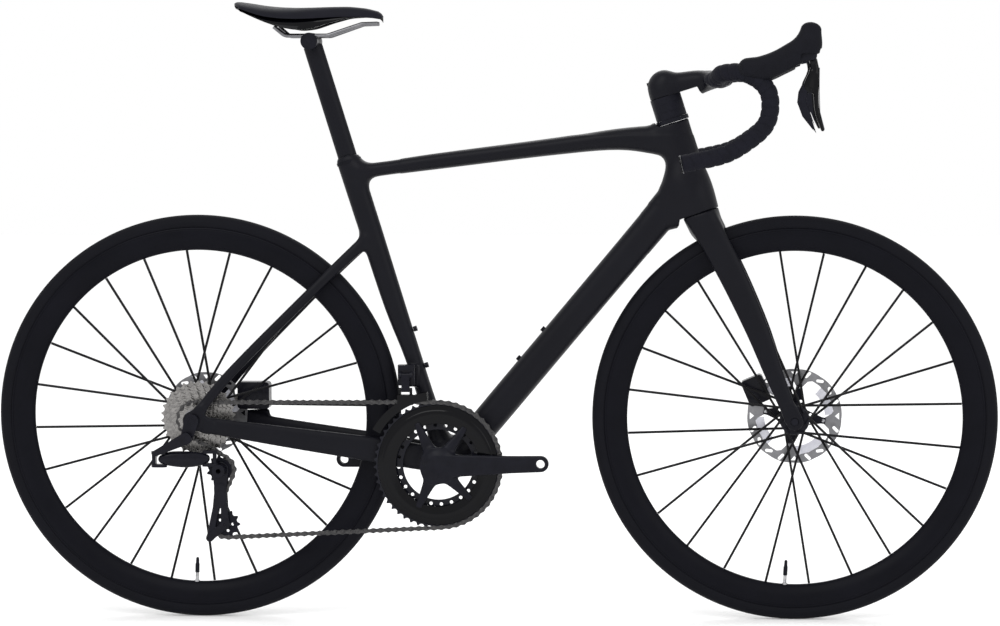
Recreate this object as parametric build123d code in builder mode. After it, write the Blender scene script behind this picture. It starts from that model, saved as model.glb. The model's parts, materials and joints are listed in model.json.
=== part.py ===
from build123d import *
from math import asin, atan2, cos, hypot, pi, radians, sin
import os

# Road bicycle with disc brakes, electronic gears and no pedals. Millimetres.
# +X points forwards, +Z up, -Y is the drive side. The origin is on the ground, halfway between the axles.

# ---------------------------------------------------------------- driving dimensions
wheelbase = 999.0
tyre_radius = 339.0
tyre_width = 28.0
casing_wall = 2.8
rim_outer_radius = 317.0
rim_depth = 37.0
rim_width = 27.0
rim_wall = 2.4
spoke_count = 24
spoke_radius = 0.95
nipple_radius = 2.0
nipple_length = 14.0
front_spoke_phase = 5.2
rear_spoke_phase = 4.0
front_valve_angle = 266.8
rear_valve_angle = 267.9
valve_length = 48.0
front_hub_width = 100.0
rear_hub_width = 142.0
axle_radius = 6.0
front_rotor_radius = 80.0
rear_rotor_radius = 70.0
rotor_band = 14.0
rotor_thickness = 1.8
front_rotor_inset = 10.5
rear_rotor_inset = 15.3
fork_end_thickness = 10.0
dropout_thickness = 7.0

bracket_x = -94.0
bracket_z = 264.0
bracket_shell_radius = 26.0
bracket_shell_width = 68.0
spindle_radius = 12.0
crank_length = 172.5
crank_inner_y = 58.0
crank_arm_thickness = 14.0
pedal_thread_radius = 7.14
crank_angle = 1.4
big_ring_teeth = 52
small_ring_teeth = 36
ring_thickness = 2.0
chain_y = -50.0
small_ring_step = 7.0
cog_teeth = [11, 12, 13, 14, 15, 16, 17, 19, 21, 24, 27, 30]
cog_pitch = 3.56
cog_thickness = 1.6
engaged_cog = 3
chain_pitch = 12.7
pulley_teeth = 11
pulley_gap = 92.2
cage_angle = 85.6

steer_x = 285.0
steer_z = 868.0
head_angle = 72.5
seat_angle = 73.0
head_tube_top = 38.0
head_tube_bottom = 194.0
head_tube_radius = 25.0
steerer_radius = 14.3
lower_steerer_radius = 19.0
spacer_radius = 26.0
spacer_top = -7.0
stem_top = -47.0
seatpost_depth = 32.0
seatpost_width = 22.0
seatpost_offset = 3.2
seatpost_top = 725.0
seatpost_bottom = 420.0
seat_tube_top = 522.0
saddle_length = 243.0
saddle_width = 145.0
saddle_nose_x = -185.0
rail_radius = 3.5
rail_spread = 22.0
bar_half_width = 200.0
bar_radius = 12.0
tape_thickness = 2.8
bar_top_depth = 40.0
bar_top_height = 21.0
bar_x = 372.0
bar_z = 902.5

fit = 0.05          # radial clearance of a running fit
seat = 0.15         # clearance of a piece that is fixed in its seat
clear = 0.4         # clearance between flat faces that turn past each other
tooth_height = 2.0  # tooth tip above the pitch circle
plate_half = 4.2    # half the height of a chain plate

# ---------------------------------------------------------------- places worked out from them
front_x = wheelbase / 2
rear_x = -wheelbase / 2
axle_z = tyre_radius
steer_down = (cos(radians(head_angle)), -sin(radians(head_angle)))
steer_front = (sin(radians(head_angle)), cos(radians(head_angle)))
seat_up = (-cos(radians(seat_angle)), sin(radians(seat_angle)))
seat_front = (sin(radians(seat_angle)), cos(radians(seat_angle)))
small_ring_y = chain_y + small_ring_step
first_cog_y = chain_y - engaged_cog * cog_pitch
guide_x = rear_x + 42.0
guide_z = axle_z - 84.0
tension_x = guide_x + pulley_gap * cos(radians(cage_angle))
tension_z = guide_z - pulley_gap * sin(radians(cage_angle))
front_rotor_y = front_hub_width / 2 - front_rotor_inset
rear_rotor_y = rear_hub_width / 2 - rear_rotor_inset

os.makedirs("parts", exist_ok=True)


def steer_point(down, ahead=0.0):
    """A point on the steering axis, so far below its datum and so far ahead of the axis."""
    x = steer_x + down * steer_down[0] + ahead * steer_front[0]
    z = steer_z + down * steer_down[1] + ahead * steer_front[1]
    return (x, 0, z)


def seat_point(up, ahead=0.0):
    """A point on the seat-tube axis, so far above the bottom bracket and so far ahead of the axis."""
    x = bracket_x + up * seat_up[0] + ahead * seat_front[0]
    z = bracket_z + up * seat_up[1] + ahead * seat_front[1]
    return (x, 0, z)


def steer_plane(down, ahead=0.0):
    """A plane square to the steering axis, facing down it, with its X along the bicycle's Y."""
    return Plane(origin=steer_point(down, ahead), x_dir=(0, 1, 0), z_dir=(steer_down[0], 0, steer_down[1]))


def seat_plane(up, ahead=0.0):
    """A plane square to the seat tube, facing up it, with its X along the bicycle's Y."""
    return Plane(origin=seat_point(up, ahead), x_dir=(0, 1, 0), z_dir=(seat_up[0], 0, seat_up[1]))


def side_plane(y, x=0.0, z=0.0):
    """An upright plane seen from the drive side: its X is forwards and its Y is up."""
    return Plane(origin=(x, y, z), x_dir=(1, 0, 0), z_dir=(0, -1, 0))


def across(x, z):
    """The axis that runs across the bicycle through (x, z)."""
    return Axis((x, 0, z), (0, 1, 0))


def drum(x, z, radius, y_from, y_to, mode=Mode.ADD):
    """A round bar across the bicycle, from one y to the other."""
    with BuildSketch(side_plane(max(y_from, y_to), x, z)) as section:
        Circle(radius)
    extrude(section.sketch, amount=abs(y_to - y_from), mode=mode)


def oval_tube(stations):
    """A tube lofted through ovals: each station is a centre, a direction, a width across and a depth."""
    sections = []
    for centre, direction, width, depth in stations:
        with BuildSketch(Plane(origin=centre, x_dir=(0, 1, 0), z_dir=direction)) as section:
            Ellipse(width / 2, depth / 2)
        sections.append(section.sketch)
    loft(sections)


def flat_plate(y_from, y_to, circles, mode=Mode.ADD):
    """An upright plate round a set of circles (x, z, radius), from one y to the other."""
    with BuildSketch(side_plane(max(y_from, y_to))) as section:
        for x, z, radius in circles:
            with Locations((x, z)):
                Circle(radius)
        if len(circles) > 1:
            make_hull()
    extrude(section.sketch, amount=abs(y_to - y_from), mode=mode)


def outline_plate(y_from, y_to, points, mode=Mode.ADD):
    """An upright plate with a straight-sided outline of (x, z) points, from one y to the other."""
    with BuildSketch(side_plane(max(y_from, y_to))) as section:
        with BuildLine():
            Polyline(*points, close=True)
        make_face()
    extrude(section.sketch, amount=abs(y_to - y_from), mode=mode)


def pitch_radius(teeth):
    """Pitch radius of a chain wheel."""
    return chain_pitch / (2 * sin(pi / teeth))


# ---------------------------------------------------------------- frame
seat_side = (seat_up[0], 0, seat_up[1])
down_tube_up = (0.6436, 0, 0.7653)
top_tube_ahead = (0.991, 0, 0.134)
stay_y = rear_hub_width / 2 + dropout_thickness / 2
hanger_x = rear_x - 8.5
hanger_z = axle_z - 28.0
rear_mount_top = axle_z + 7.0
rear_caliper_x = rear_x + 80.0

# bottle-cage bolts: two on the seat tube, two on the down tube, each given as a seat and a direction
bottle_bolt_places = [
    ((-138.6, 0, 487.0), (0.9563, 0, 0.2924)),
    ((-120.0, 0, 426.0), (0.9563, 0, 0.2924)),
    ((81.0, 0, 485.7), (-0.7653, 0, 0.6436)),
    ((40.0, 0, 437.0), (-0.7653, 0, 0.6436)),
]
bottle_bolt_radius = 4.5

with BuildPart() as frame:
    # seat tube, cut back low down for the tyre
    oval_tube(
        [
            (seat_point(up, ahead), seat_side, width, depth)
            for up, ahead, width, depth in [
                (0, 8, 46, 38),
                (100, 8, 37, 29),
                (185, 7.5, 32, 28.5),
                (275, 4, 32, 36),
                (400, 3.3, 32, 38),
                (seat_tube_top, seatpost_offset, 32, 38.8),
            ]
        ]
    )
    # top tube, from the seat tube to the head tube
    oval_tube(
        [
            ((-215, 0, 752.5), top_tube_ahead, 32, 25),
            ((-91, 0, 768.2), top_tube_ahead, 35, 25),
            ((100, 0, 792.5), top_tube_ahead, 40, 28),
            ((207, 0, 803.0), top_tube_ahead, 44, 36),
            ((282, 0, 800.0), top_tube_ahead, 46, 58),
        ]
    )
    # down tube, from the bottom bracket to the head tube
    oval_tube(
        [
            ((-66, 0, 273), down_tube_up, 64, 46),
            ((-16.2, 0, 332.3), down_tube_up, 60, 50),
            ((115, 0, 488.5), down_tube_up, 54, 50),
            ((244, 0, 641.7), down_tube_up, 50, 50),
            ((318, 0, 728), down_tube_up, 47, 60),
        ]
    )
    # head tube and bottom-bracket shell
    with BuildSketch(steer_plane(head_tube_top)):
        Circle(head_tube_radius)
    with BuildSketch(steer_plane(head_tube_bottom)):
        Circle(head_tube_radius + 2)
    loft()
    drum(bracket_x, bracket_z, bracket_shell_radius, bracket_shell_width / 2, -bracket_shell_width / 2)
    for side in (-1, 1):
        # chainstay
        oval_tube(
            [
                ((-105, side * 22, 270), (-1, 0, 0.1), 20, 40),
                ((-135, side * 25.5, 276), (-1, side * 0.1, 0.15), 17, 44),
                ((-205, side * 33, 288), (-1, side * 0.12, 0.15), 16, 41),
                ((-340, side * 51, 309), (-1, side * 0.13, 0.15), 14, 35),
                ((rear_x + 20, side * (stay_y - 2), axle_z - 8), (-1, side * 0.14, 0.15), 12.5, 27),
            ]
        )
        # seatstay
        oval_tube(
            [
                ((-216, side * 11, 634), (-0.702, side * 0.12, -0.712), 12, 19),
                ((-261, side * 19, 596), (-0.702, side * 0.15, -0.712), 11, 17),
                ((-430.6, side * 61, 424.2), (-0.702, side * 0.16, -0.712), 11, 16),
                ((rear_x + 8, side * (stay_y - 1), axle_z + 23), (-0.702, side * 0.16, -0.712), 11, 16),
            ]
        )
        # dropout plate
        flat_plate(
            side * rear_hub_width / 2,
            side * (rear_hub_width / 2 + dropout_thickness),
            [
                (rear_x, axle_z, 16),
                (rear_x + 22, axle_z - 8, 12),
                (rear_x + 10, axle_z + 21, 8),
            ],
        )
    # pad for the rear caliper on the left chainstay
    outline_plate(
        rear_rotor_y + 5.5,
        rear_rotor_y + 14,
        [
            (rear_caliper_x - 22, axle_z - 20),
            (rear_caliper_x + 26, axle_z - 25),
            (rear_caliper_x + 26, rear_mount_top),
            (rear_caliper_x - 22, rear_mount_top),
        ],
    )
    # hanger for the front derailleur on the drive side of the seat tube
    with BuildSketch(Plane.XY.offset(392)):
        with Locations((-139, -17)):
            Rectangle(22, 12)
    extrude(amount=36)
    # bores: seatpost, steerer and bearings, bottom bracket, rear axle
    with BuildSketch(seat_plane(seatpost_bottom - 4, seatpost_offset)):
        Ellipse(seatpost_width / 2 + seat, seatpost_depth / 2 + seat)
    extrude(amount=seat_tube_top - seatpost_bottom + 40, mode=Mode.SUBTRACT)
    with BuildSketch(steer_plane(head_tube_top - 20)):
        Circle(lower_steerer_radius + 1.5)
    extrude(amount=head_tube_bottom - head_tube_top + 40, mode=Mode.SUBTRACT)
    with BuildSketch(steer_plane(head_tube_bottom - 10)):
        Circle(23.5)
    extrude(amount=30, mode=Mode.SUBTRACT)
    drum(bracket_x, bracket_z, 21 + seat, 80, -80, mode=Mode.SUBTRACT)
    drum(rear_x, axle_z, axle_radius + seat, 90, -90, mode=Mode.SUBTRACT)
    for place, outwards in bottle_bolt_places:
        with BuildSketch(Plane(origin=place, z_dir=outwards)) as bolt_seat:
            Circle(bottle_bolt_radius + seat)
        extrude(bolt_seat.sketch, amount=8, mode=Mode.SUBTRACT)
    # the top of the head tube is one flat face
    with BuildSketch(steer_plane(head_tube_top)):
        Circle(60)
    extrude(amount=-60, mode=Mode.SUBTRACT)
    with BuildSketch(steer_plane(head_tube_bottom)):
        Circle(60)
    extrude(amount=60, mode=Mode.SUBTRACT)
frame.part.label = "frame"
export_step(frame.part, "parts/frame.step")

# ---------------------------------------------------------------- pieces fixed to the frame
with BuildPart() as hanger:
    flat_plate(
        -rear_hub_width / 2 - dropout_thickness - 2,
        -rear_hub_width / 2 - dropout_thickness - 7,
        [(rear_x, axle_z, 12), (hanger_x, hanger_z, 10)],
    )
    drum(rear_x, axle_z, axle_radius + seat, 0, -100, mode=Mode.SUBTRACT)
    drum(hanger_x, hanger_z, 5 + fit, 0, -100, mode=Mode.SUBTRACT)
hanger.part.label = "hanger"
export_step(hanger.part, "parts/hanger.step")

with BuildPart() as seatpost:
    with BuildSketch(seat_plane(seatpost_bottom, seatpost_offset)):
        Ellipse(seatpost_width / 2, seatpost_depth / 2)
    extrude(amount=seatpost_top - seatpost_bottom)
    clamp_x, _, clamp_z = seat_point(seatpost_top + 8, seatpost_offset)
    drum(clamp_x, clamp_z, 14, 13, -13)
    drum(clamp_x, clamp_z, 4 + seat, 20, -20, mode=Mode.SUBTRACT)
seatpost.part.label = "seatpost"
export_step(seatpost.part, "parts/seatpost.step")

with BuildPart() as seatpost_cover:
    with BuildSketch(seat_plane(seat_tube_top + seat, seatpost_offset)):
        Ellipse(17, 21)
        Ellipse(seatpost_width / 2 + seat, seatpost_depth / 2 + seat, mode=Mode.SUBTRACT)
    extrude(amount=5)
seatpost_cover.part.label = "seatpost_cover"
export_step(seatpost_cover.part, "parts/seatpost_cover.step")

rail_z = clamp_z + 9
with BuildPart() as saddle_rails:
    for side in (-1, 1):
        with BuildLine() as rail_path:
            FilletPolyline(
                (clamp_x - 58, side * 29, clamp_z + 24),
                (clamp_x - 40, side * 26, rail_z),
                (clamp_x + 30, side * rail_spread, rail_z),
                (clamp_x + 86, side * 14, clamp_z + 28),
                (clamp_x + 112, side * 10, clamp_z + 29),
                radius=14,
            )
        start = rail_path.line @ 0
        with BuildSketch(Plane(origin=start, z_dir=rail_path.line % 0)) as rail_section:
            Circle(rail_radius)
        sweep(rail_section.sketch, path=rail_path.line)
saddle_rails.part.label = "saddle_rails"
export_step(saddle_rails.part, "parts/saddle_rails.step")

# the two plates that grip the rails, and the bolt through the post's head
with BuildPart() as saddle_clamp:
    for side in (-1, 1):
        drum(clamp_x, clamp_z, 14, side * (13 + seat), side * (rail_spread + 7))
    with BuildLine() as rail_path:
        FilletPolyline(
            (clamp_x - 58, 29, clamp_z + 24),
            (clamp_x - 40, 26, rail_z),
            (clamp_x + 30, rail_spread, rail_z),
            (clamp_x + 86, 14, clamp_z + 28),
            radius=14,
        )
    with BuildSketch(Plane(origin=rail_path.line @ 0, z_dir=rail_path.line % 0)) as groove_section:
        Circle(rail_radius + fit)
    with BuildPart(mode=Mode.PRIVATE) as groove:
        sweep(groove_section.sketch, path=rail_path.line)
        mirror(about=Plane.XZ)
    add(groove.part, mode=Mode.SUBTRACT)
    drum(clamp_x, clamp_z, 4 + seat, 40, -40, mode=Mode.SUBTRACT)
    drum(clamp_x, clamp_z, 4, rail_spread + 7, -rail_spread - 7)
saddle_clamp.part.label = "saddle_clamp"
export_step(saddle_clamp.part, "parts/saddle_clamp.step")

# saddle: stations from nose to tail give x, width, top height and thickness of the cover
saddle_stations = [
    (saddle_nose_x, 30, 1016, 11),
    (saddle_nose_x - 25, 42, 1023, 16),
    (saddle_nose_x - 85, 58, 1023, 17),
    (saddle_nose_x - 140, 92, 1021, 17),
    (saddle_nose_x - 190, saddle_width - 8, 1024, 17),
    (saddle_nose_x - 225, saddle_width, 1029, 17),
    (saddle_nose_x - saddle_length, 92, 1030, 11),
]
with BuildPart() as saddle_cover:
    sections = []
    for x, width, top, thick in saddle_stations:
        middle = top - thick / 2
        with BuildSketch(Plane(origin=(x, 0, middle), x_dir=(0, 1, 0), z_dir=(1, 0, 0))) as section:
            RectangleRounded(width, thick, thick * 0.45)
        sections.append(section.sketch)
    loft(sections)
saddle_cover.part.label = "saddle_cover"
export_step(saddle_cover.part, "parts/saddle_cover.step")

shell_thickness = 5.0
shell_gap = 1.3
with BuildPart() as saddle_shell:
    sections = []
    for x, width, top, thick in saddle_stations[1:-1]:
        middle = top - thick - shell_gap - shell_thickness / 2
        with BuildSketch(Plane(origin=(x, 0, middle), x_dir=(0, 1, 0), z_dir=(1, 0, 0))) as section:
            Ellipse((width - 8) / 2, shell_thickness / 2)
        sections.append(section.sketch)
    loft(sections)
    # sockets for the rails: two at the back, one at the nose
    for side in (-1, 1):
        with BuildSketch(Plane.XY.offset(clamp_z + 20)):
            with Locations((clamp_x - 58, side * 29)):
                Rectangle(14, 14)
        extrude(amount=1004 - clamp_z - 20)
    with BuildSketch(Plane.XY.offset(clamp_z + 24)):
        with Locations((clamp_x + 110, 0)):
            Rectangle(14, 30)
    extrude(amount=1004 - clamp_z - 24)
saddle_shell.part.label = "saddle_shell"
export_step(saddle_shell.part, "parts/saddle_shell.step")

with BuildPart() as bottom_bracket:
    for side in (-1, 1):
        drum(bracket_x, bracket_z, 21, side * 24, side * (bracket_shell_width / 2 + 4))
        drum(
            bracket_x,
            bracket_z,
            24,
            side * (bracket_shell_width / 2 + fit),
            side * (bracket_shell_width / 2 + 4),
        )
    drum(bracket_x, bracket_z, spindle_radius + fit, 50, -50, mode=Mode.SUBTRACT)
bottom_bracket.part.label = "bottom_bracket"
export_step(bottom_bracket.part, "parts/bottom_bracket.step")

with BuildPart() as headset_bearings:
    for down, outer, inner, height in [
        (head_tube_top + 1, 20.5 - seat, steerer_radius + fit, 8),
        (head_tube_bottom - 9.5, 23.5 - seat, lower_steerer_radius + fit, 9),
    ]:
        with BuildSketch(steer_plane(down)):
            Circle(outer)
            Circle(inner, mode=Mode.SUBTRACT)
        extrude(amount=height)
headset_bearings.part.label = "headset_bearings"
export_step(headset_bearings.part, "parts/headset_bearings.step")

with BuildPart() as bottle_bolts:
    for place, outwards in bottle_bolt_places:
        with BuildSketch(Plane(origin=place, z_dir=outwards)) as head:
            Circle(bottle_bolt_radius)
        extrude(head.sketch, amount=6)
bottle_bolts.part.label = "bottle_bolts"
export_step(bottle_bolts.part, "parts/bottle_bolts.step")

with BuildPart() as rear_axle:
    drum(rear_x, axle_z, axle_radius, -rear_hub_width / 2 - dropout_thickness - 7, rear_hub_width / 2 + 9)
    drum(
        rear_x, axle_z, 9, rear_hub_width / 2 + dropout_thickness + 2 + fit, rear_hub_width / 2 + 12
    )
rear_axle.part.label = "rear_axle"
export_step(rear_axle.part, "parts/rear_axle.step")

# ---------------------------------------------------------------- brakes: caliper bodies and pads
pad_thickness = 3.0
pad_gap = 0.3
slot_half = rotor_thickness / 2 + pad_gap + pad_thickness + 0.1
pad_size = (22.0, 16.0)


def caliper(middle, size, rotor_centre, rotor_radius, rotor_y, turn):
    """A caliper body astride its rotor, turned about the wheel's axis direction, with the slot cut out."""
    across_half = slot_half + 9
    with BuildSketch(side_plane(rotor_y + across_half, *middle)) as body:
        RectangleRounded(size[0], size[1], 6, rotation=turn)
    extrude(body.sketch, amount=2 * across_half)
    drum(
        rotor_centre[0],
        rotor_centre[1],
        rotor_radius + 3,
        rotor_y + slot_half,
        rotor_y - slot_half,
        mode=Mode.SUBTRACT,
    )


def pad(place, turn, rotor_y, side):
    """A brake pad beside its rotor, on the side given."""
    start = rotor_y + side * (rotor_thickness / 2 + pad_gap)
    end = start + side * pad_thickness
    with BuildSketch(side_plane(max(start, end), *place)) as shape:
        RectangleRounded(*pad_size, 3, rotation=turn)
    extrude(shape.sketch, amount=pad_thickness)


rear_caliper_middle = (rear_caliper_x + 2, axle_z + 31)
rear_pad_turn = 22.0
rear_pad_place = (
    rear_x + (rear_rotor_radius - 8) * cos(radians(rear_pad_turn)),
    axle_z + (rear_rotor_radius - 8) * sin(radians(rear_pad_turn)),
)
with BuildPart() as rear_caliper:
    caliper(
        rear_caliper_middle,
        (54, 46),
        (rear_x, axle_z),
        rear_rotor_radius,
        rear_rotor_y,
        0,
    )
rear_caliper.part.label = "rear_caliper"
export_step(rear_caliper.part, "parts/rear_caliper.step")

front_pad_turn = 149.0
front_pad_place = (
    front_x + (front_rotor_radius - 8) * cos(radians(front_pad_turn)),
    axle_z + (front_rotor_radius - 8) * sin(radians(front_pad_turn)),
)
with BuildPart() as rear_pad_left:
    pad(rear_pad_place, rear_pad_turn + 90, rear_rotor_y, 1)
rear_pad_left.part.label = "rear_pad_left"
export_step(rear_pad_left.part, "parts/rear_pad_left.step")

with BuildPart() as rear_pad_right:
    pad(rear_pad_place, rear_pad_turn + 90, rear_rotor_y, -1)
rear_pad_right.part.label = "rear_pad_right"
export_step(rear_pad_right.part, "parts/rear_pad_right.step")

with BuildPart() as front_pad_left:
    pad(front_pad_place, front_pad_turn + 90, front_rotor_y, 1)
front_pad_left.part.label = "front_pad_left"
export_step(front_pad_left.part, "parts/front_pad_left.step")

with BuildPart() as front_pad_right:
    pad(front_pad_place, front_pad_turn + 90, front_rotor_y, -1)
front_pad_right.part.label = "front_pad_right"
export_step(front_pad_right.part, "parts/front_pad_right.step")

# ---------------------------------------------------------------- fork and steering
fork_end_y = front_hub_width / 2 + fork_end_thickness / 2
crown_top = head_tube_bottom + 1.2
leg_down = (0.39, 0, -0.92)
front_caliper_middle = (front_x - 65.0, axle_z + 44.0)
with BuildPart() as fork:
    # crown
    with BuildSketch(steer_plane(crown_top)):
        Ellipse(27, 29)
    with BuildSketch(steer_plane(crown_top + 12, -1)):
        Ellipse(35, 29)
    with BuildSketch(steer_plane(crown_top + 27, -1)):
        Ellipse(44, 26)
    loft()
    # steerer tube: wide at the lower bearing, then narrow
    with BuildSketch(steer_plane(crown_top + 4)):
        Circle(lower_steerer_radius)
    extrude(amount=-(crown_top + 4 - head_tube_bottom + 22))
    with BuildSketch(steer_plane(head_tube_bottom - 20)):
        Circle(lower_steerer_radius)
    with BuildSketch(steer_plane(head_tube_bottom - 50)):
        Circle(steerer_radius)
    loft()
    with BuildSketch(steer_plane(head_tube_bottom - 48)):
        Circle(steerer_radius)
    extrude(amount=-(head_tube_bottom - 48 - stem_top - 6))
    for side in (-1, 1):
        oval_tube(
            [
                ((341, side * 30, 680), leg_down, 24, 54),
                ((361, side * 34, 652), (0.39, side * 0.07, -0.92), 23, 47),
                ((407, side * 41, 556), (0.42, side * 0.07, -0.91), 19, 44),
                ((461.5, side * 49.5, 429), (0.41, side * 0.05, -0.91), 14.5, 33),
                ((front_x - 3, side * fork_end_y, axle_z + 8), (0.38, 0, -0.92), 10, 25),
            ]
        )
        flat_plate(
            side * front_hub_width / 2,
            side * (front_hub_width / 2 + fork_end_thickness),
            [(front_x, axle_z, 13), (front_x - 5, axle_z + 14, 11)],
        )
    # pad for the front caliper behind the left leg
    with BuildSketch(side_plane(fork_end_y + 4, *front_caliper_middle)):
        with Locations(Location((27, 6, 0), 23)):
            Rectangle(14, 40)
    extrude(amount=13)
    drum(front_x, axle_z, axle_radius + seat, 90, -90, mode=Mode.SUBTRACT)
    # the hub stands between the fork ends
    drum(front_x, axle_z, 26, front_hub_width / 2, -front_hub_width / 2, mode=Mode.SUBTRACT)
    drum(
        front_x,
        axle_z,
        front_rotor_radius + 2,
        front_rotor_y + 3,
        front_rotor_y - 3,
        mode=Mode.SUBTRACT,
    )
fork.part.label = "fork"
export_step(fork.part, "parts/fork.step")

with BuildPart() as front_caliper:
    caliper(
        front_caliper_middle,
        (38, 46),
        (front_x, axle_z),
        front_rotor_radius,
        front_rotor_y,
        23,
    )
    add(fork.part, mode=Mode.SUBTRACT)
front_caliper.part.label = "front_caliper"
export_step(front_caliper.part, "parts/front_caliper.step")

with BuildPart() as front_axle:
    drum(front_x, axle_z, axle_radius, -front_hub_width / 2 - fork_end_thickness, front_hub_width / 2 + 11)
    drum(
        front_x,
        axle_z,
        9,
        front_hub_width / 2 + fork_end_thickness + fit,
        front_hub_width / 2 + fork_end_thickness + 3,
    )
front_axle.part.label = "front_axle"
export_step(front_axle.part, "parts/front_axle.step")

# top cover and spacers, from the head tube up to the stem
stack_bottom = head_tube_top - clear
cover_height = 7.0
spacer_total = 3
spacer_height = (stack_bottom - cover_height - spacer_top) / spacer_total
with BuildPart() as headset_spacers:
    with BuildSketch(steer_plane(stack_bottom)):
        Circle(spacer_radius + 1.5)
        Circle(steerer_radius + seat, mode=Mode.SUBTRACT)
    extrude(amount=-cover_height + seat)
    for number in range(spacer_total):
        with BuildSketch(steer_plane(stack_bottom - cover_height - number * spacer_height)):
            Circle(spacer_radius)
            Circle(steerer_radius + seat, mode=Mode.SUBTRACT)
        extrude(amount=-spacer_height + seat)
headset_spacers.part.label = "headset_spacers"
export_step(headset_spacers.part, "parts/headset_spacers.step")

# ---------------------------------------------------------------- one-piece bar and stem
drop_points = [
    (bar_x, 118, bar_z),
    (bar_x, 134, bar_z),
    (bar_x + 7, 166, bar_z + 9),
    (bar_x + 46, bar_half_width - 5, bar_z + 13),
    (bar_x + 88, bar_half_width, bar_z - 14),
    (bar_x + 85, bar_half_width + 2, bar_z - 74),
    (bar_x + 21, bar_half_width + 5, bar_z - 120),
    (bar_x - 54, bar_half_width + 7, bar_z - 135),
]
drop_radii = [40, 30, 24, 22, 26, 60]


def drop_path(side):
    """The centre line of the bar's ramp and drop on one side."""
    points = [(x, side * y, z) for x, y, z in drop_points]
    with BuildLine() as path:
        FilletPolyline(*points, radius=drop_radii)
    return path.line


with BuildPart() as handlebar:
    with BuildSketch(steer_plane(spacer_top)):
        Circle(24)
    extrude(amount=stem_top - spacer_top)
    oval_tube(
        [
            ((285, 0, 894), (0.995, 0, 0.1), 42, 36),
            ((335, 0, 902), (0.995, 0, 0.1), 40, 34),
            ((bar_x, 0, bar_z), (0.995, 0, 0.1), 60, 23),
        ]
    )
    with BuildSketch(side_plane(122, bar_x, bar_z)):
        Ellipse(bar_top_depth / 2, bar_top_height / 2)
    extrude(amount=244)
    for side in (-1, 1):
        path = drop_path(side)
        with BuildSketch(Plane(origin=path @ 0, z_dir=path % 0)) as bar_section:
            Circle(bar_radius)
        sweep(bar_section.sketch, path=path)
    with BuildSketch(steer_plane(spacer_top + 1)):
        Circle(steerer_radius + seat)
    extrude(amount=stem_top - spacer_top + 3, mode=Mode.SUBTRACT)
    # the stem sits flat on the spacers
    with BuildSketch(steer_plane(spacer_top - seat)):
        Circle(60)
    extrude(amount=30, mode=Mode.SUBTRACT)
    # two holes at the back of the stem for its clamp bolts
    for down in (-18, -34):
        with BuildSketch(
            Plane(origin=steer_point(down, -30), z_dir=(steer_front[0], 0, steer_front[1]))
        ) as bolt_hole:
            Circle(3.2)
        extrude(bolt_hole.sketch, amount=20, mode=Mode.SUBTRACT)
handlebar.part.label = "handlebar"
export_step(handlebar.part, "parts/handlebar.step")

with BuildPart() as stem_bolts:
    for down in (-18, -34):
        with BuildSketch(
            Plane(origin=steer_point(down, -23), z_dir=(steer_front[0], 0, steer_front[1]))
        ) as bolt:
            Circle(3.2 - seat)
        extrude(bolt.sketch, amount=8)
stem_bolts.part.label = "stem_bolts"
export_step(stem_bolts.part, "parts/stem_bolts.step")

tape_start_y = 62.0
with BuildPart() as bar_tape:
    for side in (-1, 1):
        path = drop_path(side)
        outer = bar_radius + seat + tape_thickness
        with BuildSketch(side_plane(max(side * tape_start_y, side * 121), bar_x, bar_z)) as flat_section:
            Ellipse(bar_top_depth / 2 + seat + tape_thickness, bar_top_height / 2 + seat + tape_thickness)
            Ellipse(bar_top_depth / 2 + seat, bar_top_height / 2 + seat, mode=Mode.SUBTRACT)
        extrude(flat_section.sketch, amount=121 - tape_start_y)
        with BuildSketch(Plane(origin=path @ 0, z_dir=path % 0)) as tube_section:
            Circle(outer)
            Circle(bar_radius + seat, mode=Mode.SUBTRACT)
        sweep(tube_section.sketch, path=path)
    # the tape is wound round the bar only, so nothing of it is left inside the bar's flat top
    with BuildSketch(side_plane(123, bar_x, bar_z)) as flat_core:
        Ellipse(bar_top_depth / 2 + seat, bar_top_height / 2 + seat)
    extrude(flat_core.sketch, amount=246, mode=Mode.SUBTRACT)
    for side in (-1, 1):
        drum(bar_x, bar_z, bar_radius + seat, side * 116, side * 124, mode=Mode.SUBTRACT)
bar_tape.part.label = "bar_tape"
export_step(bar_tape.part, "parts/bar_tape.step")

with BuildPart() as bar_plugs:
    for side in (-1, 1):
        path = drop_path(side)
        with BuildSketch(Plane(origin=path @ 1, z_dir=path % 1)) as plug_section:
            Circle(bar_radius + tape_thickness)
        extrude(plug_section.sketch.moved(Location((path % 1) * seat)), amount=3.5)
bar_plugs.part.label = "bar_plugs"
export_step(bar_plugs.part, "parts/bar_plugs.step")

# ---------------------------------------------------------------- brake and shift levers
hood_x = bar_x + 48.0
hood_half = 17.0
bracket_half = 10.5
lever_y = bar_half_width
hood_outline = [
    (hood_x, bar_z + 12),
    (hood_x + 2, bar_z + 34),
    (hood_x + 43, bar_z + 44),
    (hood_x + 64, bar_z + 55),
    (hood_x + 81, bar_z + 86),
    (hood_x + 92, bar_z + 93),
    (hood_x + 110, bar_z + 91),
    (hood_x + 122, bar_z + 80),
    (hood_x + 117, bar_z + 55),
    (hood_x + 112, bar_z + 36),
    (hood_x + 88, bar_z + 30),
    (hood_x + 90, bar_z + 4),
    (hood_x + 62, bar_z - 10),
    (hood_x + 30, bar_z - 18),
]
bracket_outline = [
    (hood_x + 42, bar_z + 36),
    (hood_x + 66, bar_z + 48),
    (hood_x + 84, bar_z + 80),
    (hood_x + 106, bar_z + 82),
    (hood_x + 114, bar_z + 54),
    (hood_x + 117, bar_z + 34),
    (hood_x + 114, bar_z + 24),
    (hood_x + 92, bar_z + 4),
    (hood_x + 58, bar_z - 4),
]
pivot_x = hood_x + 104.0
pivot_z = bar_z + 32.0
lever_half = 7.0
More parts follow.
